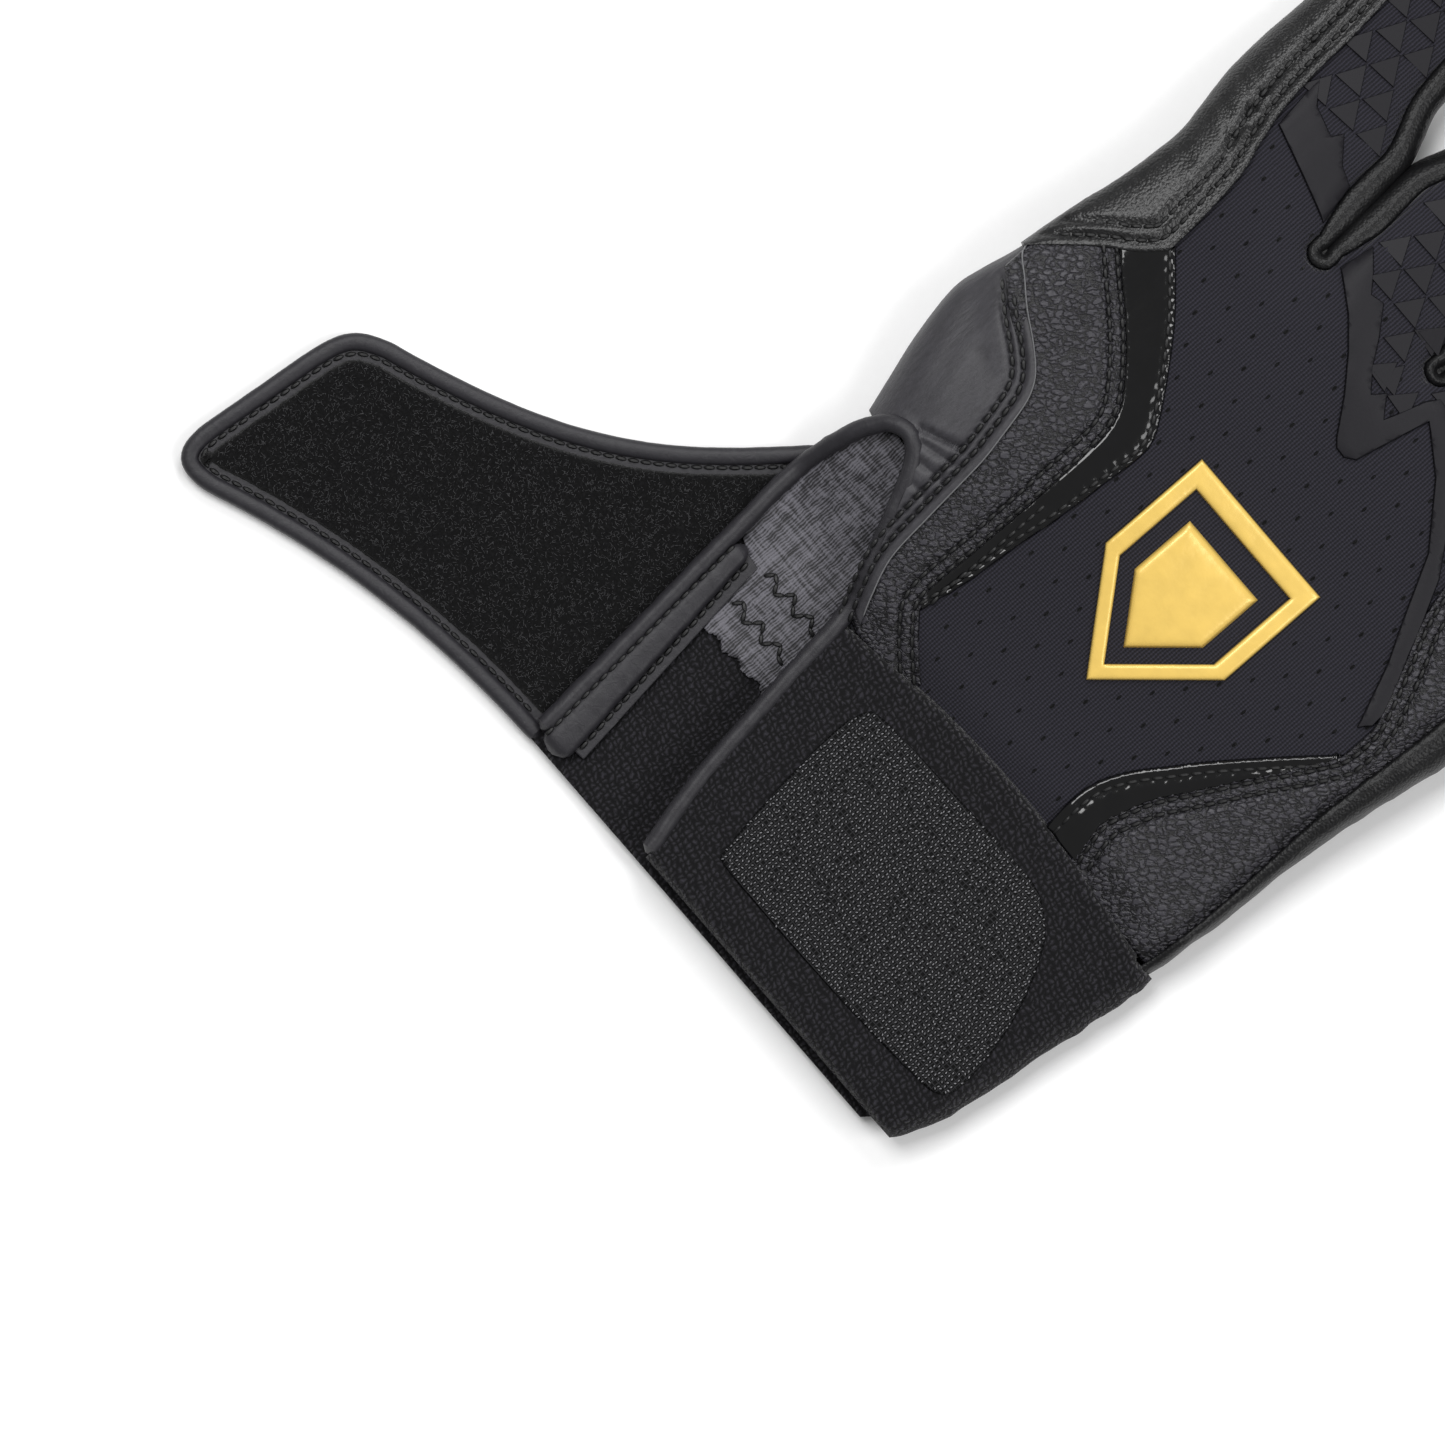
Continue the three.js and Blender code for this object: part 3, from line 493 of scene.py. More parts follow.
def rolled_wall(edge, upper, lower, columns, roll_end=125, lift=0.0, rows=(), creases=()):
    """A sheet bent round an edge of the glove, from its seam underneath to its seam on top."""
    end = math.radians(roll_end)
    lifts = np.broadcast_to(lift, len(edge)).reshape(-1, 1)

    def place(u, v):
        turn = (-math.pi / 2 + (end + math.pi / 2) * u)[:, None]
        over = turn >= 0
        edges, tops, bottoms = at(edge, v), at(upper, v), at(lower, v)
        share = (1 - np.cos(turn)) / np.where(over, 1 - math.cos(end), 1)
        flat = edges + (np.where(over, tops, bottoms) - edges) * share
        top = back_height(tops) + at(lifts, v)[:, 0]
        bottom = palm_height(bottoms) + 2.2 * (1 - smooth(bottoms[:, 1], 48, 51.5))
        height = (top + bottom) / 2 + (top - bottom) / 2 * np.sin(turn[:, 0])
        height = height - (pressed(flat, rows) + pressed(flat, creases, pit=0)) * over[:, 0]
        return np.column_stack([flat, height])

    return mapped_grid(columns, len(edge) - 1, place)


def small_sphere(columns, rows):
    """A unit sphere; its points and faces are sorted, because Blender orders them anew in each run."""
    shape = bmesh.new()
    bmesh.ops.create_uvsphere(shape, u_segments=columns, v_segments=rows, radius=1)
    no_ties = Vector((1.0, 10.3, 101.7))
    shape.verts.sort(key=lambda vert: vert.co.dot(no_ties))
    shape.faces.sort(key=lambda face: face.calc_center_median().dot(no_ties))
    return shape


def scatter(shape, spots):
    """Copies of a small shape, one for each transform."""
    model = bpy.data.meshes.new("model")
    shape.to_mesh(model)
    corners = np.array([vert.co for vert in shape.verts])
    shape.free()
    bm = bmesh.new()
    for spot in spots:
        turn = np.array(spot)
        model.vertices.foreach_set("co", (corners @ turn[:3, :3].T + turn[:3, 3]).ravel())
        bm.from_mesh(model)
    bpy.data.meshes.remove(model)
    return bm


def drape(bm, height):
    """Lifts a flat mesh onto a surface."""
    places = np.array([vert.co.xy for vert in bm.verts])
    for vert, z in zip(bm.verts, height(places)):
        vert.co.z += z
    return bm


def level(height):
    """A flat surface at one height."""
    return lambda places: np.full(len(places), height)


def raised(surface, rise):
    """A surface moved up, or down."""
    return lambda places: surface(places) + rise


def lifted(line, height):
    """A pattern line as three-dimensional points on a surface."""
    return np.column_stack([line, height(line)])


def stitches(path):
    """Transforms of the stitches along a path, each of them a short thread."""
    pitch, width = sizes().stitch_pitch / MM, sizes().thread_width / MM
    run = resample(path, pitch)
    shape = Matrix.Diagonal((pitch * 0.47, width / 2, width / 2, 1))
    spots = []
    for start, end in zip(run, run[1:]):
        turn = Vector(end - start).to_track_quat("X", "Z").to_matrix().to_4x4()
        spots.append(Matrix.Translation((start + end) / 2) @ turn @ shape)
    return spots


def thread(paths):
    """Rows of stitches along several paths."""
    shape = small_sphere(6, 5)
    bmesh.ops.rotate(shape, verts=shape.verts, matrix=Matrix.Rotation(math.pi / 2, 3, "Y"))
    return scatter(shape, [spot for path in paths for spot in stitches(path)])


def make_piece(name, bm, material, nodes=(), body="glove", sharp=40, thickness=0.0):
    """Turns a pattern mesh into a finished piece in the frame, riding on its body; a piece of the strap stays
    loose where it lies.
    """
    bmesh.ops.translate(bm, vec=(0, -CUFF_LENGTH / 2, 0), verts=bm.verts)
    bmesh.ops.scale(bm, vec=(MM, MM, MM), verts=bm.verts)
    mesh = bpy.data.meshes.new(name)
    bm.to_mesh(mesh)
    bm.free()
    mesh.polygons.foreach_set("use_smooth", [True] * len(mesh.polygons))
    mesh.set_sharp_from_angle(angle=math.radians(sharp))
    mesh.materials.append(material)
    piece = bpy.data.objects.new(name, mesh)
    bpy.context.scene.collection.objects.link(piece)
    if thickness:
        sheet = piece.modifiers.new("thickness", "SOLIDIFY")
        sheet.thickness = thickness * MM
        sheet.offset = -1
    if body == "strap":
        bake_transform(piece)
    else:
        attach(piece, body)
    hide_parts(*nodes)
    return piece


# Sizes and colours that a user would change

def linear(hex_colour):
    """An sRGB hex colour as linear red, green, blue and full alpha."""
    parts = [int(hex_colour[k:k + 2], 16) / 255 for k in (1, 3, 5)]
    return tuple(c / 12.92 if c <= 0.04045 else ((c + 0.055) / 1.055) ** 2.4 for c in parts) + (1.0,)


def colour_property(name, description, hex_colour):
    """A colour that the panel shows, given as sRGB hex."""
    return bpy.props.FloatVectorProperty(
        name=name, description=description, subtype="COLOR", size=4, min=0, max=1, default=linear(hex_colour))


def length_property(name, description, default, low, high):
    """A length that the panel shows, given in millimetres."""
    return bpy.props.FloatProperty(
        name=name, description=description, default=default * MM, min=low * MM, max=high * MM, unit="LENGTH")


class GloveSizes(bpy.types.PropertyGroup):
    """Sizes of the sewing and of the repeated details."""

    stitch_pitch: length_property("Stitch pitch", "Distance from one stitch to the next", 2.1, 1, 4)
    thread_width: length_property("Thread width", "Thickness of the sewing thread", 0.8, 0.2, 1.5)
    hole_pitch: length_property("Vent pitch", "Distance between the vents, across the hand", 6.1, 3, 12)
    hole_row: length_property("Vent rows", "Distance between the rows of vents", 4.6, 2, 12)
    stud_pitch: length_property("Stud pitch", "Distance between the finger triangles", 6.1, 4, 12)
    hook_pitch: length_property("Hook pitch", "Distance between the hooks of the patch", 0.78, 0.5, 3)


class GloveColours(bpy.types.PropertyGroup):
    """Colours of the finishes."""

    goatskin: colour_property("Goatskin", "Grained leather of the palm and finger walls", "#101011")
    pebbled: colour_property("Pebbled leather", "Overlays on both sides of the hand", "#333237")
    synthetic: colour_property("Smooth synthetic", "Panel round the base of the thumb", "#2f2e32")
    binding: colour_property("Folded leather", "Rolled edges of the slit and the strap", "#262529")
    patent: colour_property("Patent", "Glossy trims", "#0a0a0b")
    knit: colour_property("Knit", "Back of the hand", "#201f27")
    rubber: colour_property("Rubber", "Knuckle guards and studs", "#1b1a1e")
    gold: colour_property("Gold", "Raised emblem", "#e6c264")
    elastic: colour_property("Elastic", "Cuff band", "#1a191d")
    hooks: colour_property("Hook tape", "Fastening patch on the cuff", "#101011")
    lining: colour_property("Lining", "Tricot inside the slit", "#454449")
    # Hook and fibre colours are pale as painted glints: black nylon where it catches the light
    hook_tips: colour_property("Hook tips", "Bent tips of the hooks, which catch the light", "#8a8a8d")
    fibres: colour_property("Fibres", "Loose ends of the loop pile", "#505052")
    pile: colour_property("Loop pile", "Fastening side of the strap", "#0c0c0d")
    thread: colour_property("Thread", "Sewing thread", "#0e0e0f")
    floor: colour_property("Floor", "Paper under the glove", "#fbfbfb")


def sizes():
    """The sizes set in the scene."""
    return bpy.context.scene.glove_sizes


def colours():
    """The colours set in the scene."""
    return bpy.context.scene.glove_colours


# Materials

def per_mm(size):
    """Texture scale whose cells are this many millimetres across."""
    return 1 / (size * MM)


def bands_per_mm(size):
    """Wave texture scale whose bands repeat every so many millimetres."""
    return math.pi / 10 / (size * MM)


def add_node(tree, kind, settings=None, inputs=None):
    """Adds a node with its settings, and sets or links its inputs."""
    made = tree.nodes.new(kind)
    for name, value in (settings or {}).items():
        setattr(made, name, value)
    for name, value in (inputs or {}).items():
        if isinstance(value, bpy.types.NodeSocket):
            tree.links.new(value, made.inputs[name])
        else:
            made.inputs[name].default_value = value
    return made


def tinted(colour, factor):
    """A colour made lighter or darker by a factor."""
    return tuple(min(1.0, c * factor) for c in colour[:3]) + (1.0,)


class Finish:
    """A procedural material in the making, on Object coordinates; its sizes are in millimetres."""

    def __init__(self, name, roughness, specular=0.5, sheen=0.0, metallic=0.0):
        self.material = bpy.data.materials.new(name)
        self.material.use_nodes = True
        self.tree = self.material.node_tree
        self.shader = self.tree.nodes["Principled BSDF"]
        for socket, value in (("Roughness", roughness), ("Specular IOR Level", specular),
                              ("Sheen Weight", sheen), ("Metallic", metallic)):
            self.shader.inputs[socket].default_value = value
        self.place = add_node(self.tree, "ShaderNodeTexCoord").outputs["Object"]

    def texture(self, kind, scale, vector, settings, inputs):
        """A texture's outputs; detail_scale among the inputs stands for the socket Detail Scale."""
        sockets = {name.replace("_", " ").title(): value for name, value in inputs.items()}
        vector = self.place if vector is None else vector
        return add_node(self.tree, kind, settings, {"Vector": vector, "Scale": scale, **sockets}).outputs

    def noise(self, size, vector=None, **inputs):
        """Cloudy texture."""
        return self.texture("ShaderNodeTexNoise", per_mm(size), vector, None, inputs)

    def wave(self, axis, spacing, vector=None, **inputs):
        """Bands that follow one another along an axis."""
        return self.texture(
            "ShaderNodeTexWave", bands_per_mm(spacing), vector, {"bands_direction": axis}, inputs)["Fac"]

    def cells(self, feature, size, vector, **inputs):
        """Distances in a pattern of cells."""
        return self.texture(
            "ShaderNodeTexVoronoi", per_mm(size), vector, {"feature": feature}, inputs)["Distance"]

    def mapped(self, turn=0, scale=(1, 1, 1), kind="POINT"):
        """Coordinates turned by degrees and scaled."""
        return add_node(self.tree, "ShaderNodeMapping", {"vector_type": kind}, {
            "Vector": self.place, "Rotation": (0, 0, math.radians(turn)), "Scale": scale}).outputs[0]

    def bent(self, vector, colour, reach):
        """Coordinates pushed about by a colour."""
        return add_node(self.tree, "ShaderNodeVectorMath", {"operation": "MULTIPLY_ADD"}, {
            0: colour, 1: (reach * MM,) * 3, 2: vector}).outputs[0]

    def calculate(self, operation, *values):
        """Result of a calculation on values or sockets."""
        return add_node(
            self.tree, "ShaderNodeMath", {"operation": operation}, dict(enumerate(values))).outputs[0]

    def ramp(self, value, low, high, top=1.0, kind="SMOOTHSTEP"):
        """The stretch of a value between low and high, drawn out from 0 to top."""
        return add_node(self.tree, "ShaderNodeMapRange", {"interpolation_type": kind}, {
            "Value": value, "From Min": low, "From Max": high, "To Max": top}).outputs[0]

    def done(self, colour, shade, height, depth, strength, spread=(0.7, 1.3)):
        """The material, with two tones of its colour from shade and its relief from height."""
        tones = add_node(self.tree, "ShaderNodeMix", {"data_type": "RGBA"}, {
            0: shade, 6: tinted(colour, spread[0]), 7: tinted(colour, spread[1])})
        bump = add_node(self.tree, "ShaderNodeBump", None, {
            "Height": height, "Distance": depth * MM, "Strength": strength})
        self.tree.links.new(tones.outputs[2], self.shader.inputs["Base Color"])
        self.tree.links.new(bump.outputs["Normal"], self.shader.inputs["Normal"])
        return self.material


@functools.cache
def drum_dyed_goatskin(polished):
    """Goatskin tanned soft: tight beads of grain half a millimetre wide; polished, each has a glint."""
    lustre = ("polished_goatskin", 0.36, 0.45) if polished else ("drum_dyed_goatskin", 0.42, 0.27)
    skin = Finish(*lustre)
    bent = skin.bent(skin.place, skin.noise(0.8, detail=2)["Color"], 0.4)
    beads = skin.cells("SMOOTH_F1", 0.5, bent, smoothness=0.35)
    wrinkles = skin.noise(2.2, detail=4, roughness=0.6, distortion=0.5)["Fac"]
    relief = skin.calculate("MULTIPLY_ADD", beads, -1.6, wrinkles)
    return skin.done(colours().goatskin, wrinkles, relief, 0.07, 0.8, (0.7, 1.25))


@functools.cache
def pebbled_leather():
    """Embossed synthetic leather: flat pebbles a millimetre wide, parted by fine wandering cracks painted
    dark as the shade in their recesses.
    """
    skin = Finish("pebble_embossed_leather", 0.45, 0.35)
    drawn = skin.mapped(49, (1.3, 0.85, 1), "TEXTURE")
    bend = skin.noise(0.8, drawn, detail=2, roughness=0.5)
    cells = skin.cells("DISTANCE_TO_EDGE", 1.2, skin.bent(drawn, bend["Color"], 1.2))
    patches = skin.noise(1.6, detail=3)["Fac"]
    broken = skin.calculate("ADD", skin.ramp(patches, 0.5, 0.66, 0.09, "LINEAR"), cells)
    # Painted shade: the cracks take the dark tone of their recesses
    cracks = skin.ramp(broken, 0.04, 0.2)
    relief = skin.calculate("MULTIPLY_ADD", bend["Fac"], 0.4, skin.ramp(broken, 0.0, 0.32))
    return skin.done(colours().pebbled, cracks, relief, 0.26, 0.8, (0.12, 1.12))


@functools.cache
def smooth_synthetic():
    """Coated microfibre: smooth and slightly waxy, with faint long stretch marks."""
    cloth = Finish("coated_microfibre", 0.48, 0.42)
    marks = cloth.noise(0.7, cloth.mapped(-28, (1, 0.22, 1)), detail=5, roughness=0.7)["Fac"]
    return cloth.done(colours().synthetic, marks, marks, 0.18, 0.65, (0.25, 1.85))


@functools.cache
def folded_leather():
    """Thin sheep leather folded over a cord: smooth, with fine creases where it is bent."""
    skin = Finish("folded_sheepskin", 0.48, 0.35)
    creases = skin.noise(1.3, detail=5, roughness=0.65, distortion=0.8)["Fac"]
    return skin.done(colours().binding, creases, creases, 0.22, 0.5, (0.65, 1.35))


@functools.cache
def patent():
    """Patent sheet: a lacquer film on leather, black and mirror-like, slightly wavy from the sewing."""
    film = Finish("black_patent", 0.1)
    waves = film.noise(3, detail=2)["Fac"]
    return film.done(colours().patent, waves, waves, 0.45, 0.3)


@functools.cache
def ribbed_knit():
    """Two-way stretch warp knit: fine upright ribs about half a millimetre apart, with a violet cast."""
    cloth = Finish("ribbed_warp_knit", 0.75, 0.22, sheen=0.08)
    ribs = cloth.wave("X", 0.58, distortion=1.2, detail=1, detail_scale=2)
    loops = cloth.wave("Y", 0.5, distortion=2, detail=1, detail_scale=2)
    relief = cloth.calculate("MULTIPLY_ADD", loops, 0.45, ribs)
    return cloth.done(colours().knit, ribs, relief, 0.2, 0.8, (0.4, 1.6))


@functools.cache
def moulded_rubber():
    """Silicone rubber printed on and cured: dead matte, with the fine tooth of the mould."""
    rubber = Finish("cured_silicone_rubber", 0.55, 0.2)
    tooth = rubber.noise(0.5, detail=3)["Fac"]
    return rubber.done(colours().rubber, tooth, tooth, 0.05, 0.35, (0.88, 1.12))


@functools.cache
def gold_transfer():
    """Gold foil heat-pressed over a soft film: glossy, with shallow waves that break its reflections."""
    foil = Finish("gold_foil_transfer", 0.3, metallic=0.1)
    waves = foil.noise(3.2, detail=3)["Fac"]
    return foil.done(colours().gold, waves, waves, 0.35, 0.35, (0.86, 1.1))


@functools.cache
def woven_elastic():
    """Covered rubber threads woven in: short upright floats, matte black and a little fuzzy."""
    band = Finish("woven_elastic", 0.9, 0.2, sheen=0.1)
    columns = band.wave("X", 0.95, distortion=7, detail=3, detail_scale=2)
    floats = band.wave("Y", 1.05, band.mapped(14), distortion=7, detail=3, detail_scale=2)
    beads = band.calculate("MULTIPLY", columns, floats)
    return band.done(colours().elastic, beads, beads, 0.6, 0.8, (0.25, 2.7))


@functools.cache
def hook_tape():
    """Nylon hook tape: an open plain weave, its pale threads as far apart as the hooks."""
    tape = Finish("nylon_hook_tape", 0.8, 0.12)
    spacing = sizes().hook_pitch / MM
    warp, weft = (tape.wave(axis, spacing, distortion=1.5, detail=2, detail_scale=1.5) for axis in "XY")
    weave = tape.calculate("MAXIMUM", warp, weft)
    return tape.done(colours().hooks, tape.ramp(weave, 0.8, 1.0), weave, 0.12, 0.4, (0.5, 4.2))


@functools.cache
def filament_with_painted_glint(colour_name):
    """Bare nylon filament, hooks or fibre ends, painted paler than the cloth it stands on: a painted glint of
    the light it catches.
    """
    nylon = Finish(f"nylon_filament_{colour_name}", 0.45)
    ends = nylon.noise(0.9, detail=2)["Fac"]
    return nylon.done(getattr(colours(), colour_name), ends, ends, 0.02, 0.2, (0.1, 1.9))


@functools.cache
def tricot():
    """Brushed tricot: upright ribs half a millimetre apart, with the soft sheen of polyester."""
    cloth = Finish("brushed_tricot", 0.6, 0.35, sheen=0.15)
    ribs = cloth.wave("X", 0.5, distortion=5, detail=3, detail_scale=0.8)
    threads = cloth.noise(0.8, cloth.mapped(scale=(1, 0.1, 1)), detail=3)["Fac"]
    crossing = cloth.noise(0.6, cloth.mapped(scale=(0.1, 1, 1)), detail=3)["Fac"]
    shade = cloth.calculate("MULTIPLY_ADD", ribs, 0.18, cloth.calculate("MULTIPLY", crossing, threads))
    tones = cloth.ramp(shade, 0.23, 0.45, kind="LINEAR")
    return cloth.done(colours().lining, tones, ribs, 0.14, 0.5, (0.2, 2.1))


@functools.cache
def loop_pile():
    """Brushed nylon loops: a black fuzz that hardly shines, with pale speckles painted as the glint of loose
    fibres that catch the light.
    """
    pile = Finish("brushed_loop_pile", 1.0, 0.1, sheen=0.12)
    loops = pile.noise(0.55, detail=4, roughness=0.7)["Fac"]
    # Pale speckles: painted glint of loose fibres
    fibres = pile.ramp(loops, 0.5, 0.78, kind="LINEAR")
    return pile.done(colours().pile, fibres, loops, 0.6, 0.9, (0.6, 3.0))


@functools.cache
def sewing_thread():
    """Bonded nylon thread: black, round and slightly waxed."""
    nylon = Finish("bonded_nylon_thread", 0.5, 0.4)
    twist = nylon.noise(0.4, detail=2)["Fac"]
    return nylon.done(colours().thread, twist, twist, 0.06, 0.4)


@functools.cache
def raw_edge():
    """Undyed core of a cut leather edge, a little paler than its face."""
    core = Finish("cut_leather_edge", 0.7, 0.3)
    fibres = core.noise(0.5, detail=3)["Fac"]
    return core.done(linear("#747476"), fibres, fibres, 0.06, 0.4)


@functools.cache
def floor_paper():
    """White backdrop paper, very finely toothed."""
    paper = Finish("white_backdrop_paper", 0.9, 0.1)
    tooth = paper.noise(1.5, detail=2)["Fac"]
    return paper.done(colours().floor, tooth, tooth, 0.02, 0.1, (0.985, 1.015))


# Pieces

def goatskin_piece(name, bm, node, polished=False):
    """A sheet of goatskin that stands for a node."""
    make_piece(name, bm, drum_dyed_goatskin(polished), [node], thickness=LEATHER)


SLIT_BORDER = curve([(-25, 50.4), (-26, 54), (-29.2, 61.8), (-35, 74)])
BACK_OUTLINE = np.vstack([
    SLIT_BORDER, curve([(-34.6, 80), (-36, 92), (-40, 98), (-47, 103.5), (-51.4, 110)]),
    offset(INDEX_EDGE, index_seam_width(INDEX_EDGE) - 2.2)[6:], *[line[1:] for line in ROLL_SEAMS],
    part(LITTLE_SEAM, 50.2, 400)[1:], curve([(45, 50.4), (25, 51), (5, 51), (-24, 50.4)])])


class GloveOperator(bpy.types.Operator):
    """Base of the operators that sew one piece or a group of like pieces."""

    bl_options = {"REGISTER", "UNDO"}

    def execute(self, context):
        self.build()
        return {"FINISHED"}


class GLOVE_OT_back_panel(GloveOperator):
    """Sew the knit back of the hand and fingers, with dark spots of painted shade in its vents"""

    bl_idname = "glove.back_panel"
    bl_label = "Back panel"

    def build(self):
        back = cut_sheet(BACK_OUTLINE, 1.6, knit_height, rims=())
        make_piece("back_knit", back, ribbed_knit(), ["back_panel"], thickness=KNIT)
        across, rows = sizes().hole_pitch / MM, sizes().hole_row / MM
        spots = np.array([
            ((column + (row % 2) / 2) * across - 2, 136 + row * rows)
            for row in range(-19, 6) for column in range(-9, 10)])
        spots = spots[inside(BACK_OUTLINE, spots) & (spots[:, 1] < 158)]
        for cover in (EMBLEM_OUTLINE, RADIAL_COVER, ULNAR_COVER, MAIN_GUARD, INDEX_GUARD):
            spots = spots[~inside(cover, spots)]
        # Each vent is a flat near-black spot: painted shade for the dark inside of the hole
        shape = small_sphere(8, 5)
        bmesh.ops.scale(shape, vec=VENT_SIZE, verts=shape.verts)
        vents = scatter(shape, [Matrix.Translation((x, y, 0)) for x, y in spots])
        make_piece("back_vents", drape(vents, knit_height), loop_pile())


class GLOVE_OT_finger_walls(GloveOperator):
    """Sew the rolled leather walls of the fingers"""

    bl_idname = "glove.finger_walls"
    bl_label = "Finger walls"

    def build(self):
        under = offset(INDEX_EDGE, under_width(index_seam_width(INDEX_EDGE)))
        wall = rolled_wall(INDEX_EDGE, INDEX_SEAM, under, 56, roll_end=90, lift=INDEX_LIFT,
                           rows=INDEX_ROWS, creases=INDEX_CREASES)
        wrinkle(wall, (7, 3.5, 5), 0.08)
        goatskin_piece("index_side_leather", wall, "index_side_panel", polished=True)
        for (name, edge), seam in zip(FINGER_GAPS.items(), ROLL_SEAMS):
            wall = rolled_wall(edge, seam, offset(edge, UNDER_ROLL), 22)
            wrinkle(wall, WALL_WRINKLES, 0.12)
            goatskin_piece(f"wall_{name}", wall, f"fourchette_{name}")
        self.tucks()
        under = offset(LITTLE_EDGE, under_width(little_seam_width(LITTLE_EDGE)))
        lift = 0.8 * (1 - smooth(LITTLE_EDGE[:, 1], 190, 203))
        wall = rolled_wall(LITTLE_EDGE, LITTLE_SEAM, under, 26, roll_end=112, lift=lift)
        wrinkle(wall, WALL_WRINKLES, 0.2)
        goatskin_piece("little_side_leather", wall, "little_finger_side_panel")

    @staticmethod
    def tucks():
        """The folds that close the walls at the crotches."""
        for name, edge in FINGER_GAPS.items():
            bottom = edge[np.argmin(edge[:, 1])]
            line = bottom + np.column_stack([np.linspace(-0.2, 0.5, 20), np.linspace(-1.2, 5, 20)])
            path = lifted(line, raised(back_height, -1.6))
            fold = wrinkle(swept_roll(path, 0.8, 0.7, 12), (2, 2, 2), 0.05)
            make_piece(f"tuck_{name}", fold, drum_dyed_goatskin(False))


class GLOVE_OT_palm(GloveOperator):
    """Sew the leather palm"""

    bl_idname = "glove.palm"
    bl_label = "Palm"

    def build(self):
        heel = curve([(root_x(50) + 0.9, PALM_HEEL), (-50.8, 58), (-50, 66), (-47, 74), (-43, 80),
                      (-41.5, 90), (-43, 102), (-48, 110.5)])
        edges = [offset(edge, UNDER_ROLL + PALM_INSET) for edge in FINGER_GAPS.values()]
        index = offset(INDEX_EDGE, under_width(index_seam_width(INDEX_EDGE)) + PALM_INSET)
        little = offset(LITTLE_EDGE, under_width(little_seam_width(LITTLE_EDGE)) + PALM_INSET)
        outline = np.vstack([
            heel, index, *[edge[1:] for edge in edges], little[1:], [(little[-1][0], PALM_HEEL)]])
        palm = cut_sheet(outline, 2.4, raised(palm_height, LEATHER), rims=())
        goatskin_piece("palm_leather_piece", palm, "palm_panel")


def thumb_base_height(places):
    """Face of the panel round the thumb's base, which lies on the overlay and under the index leather."""
    on_overlay = LEATHER * (1 - smooth(distance_to(THUMB_SEAM, places), 2.5, 9))
    return back_height(places) + 0.8 + on_overlay - 2.6 * smooth(places[:, 1], 111.5, 115.5)


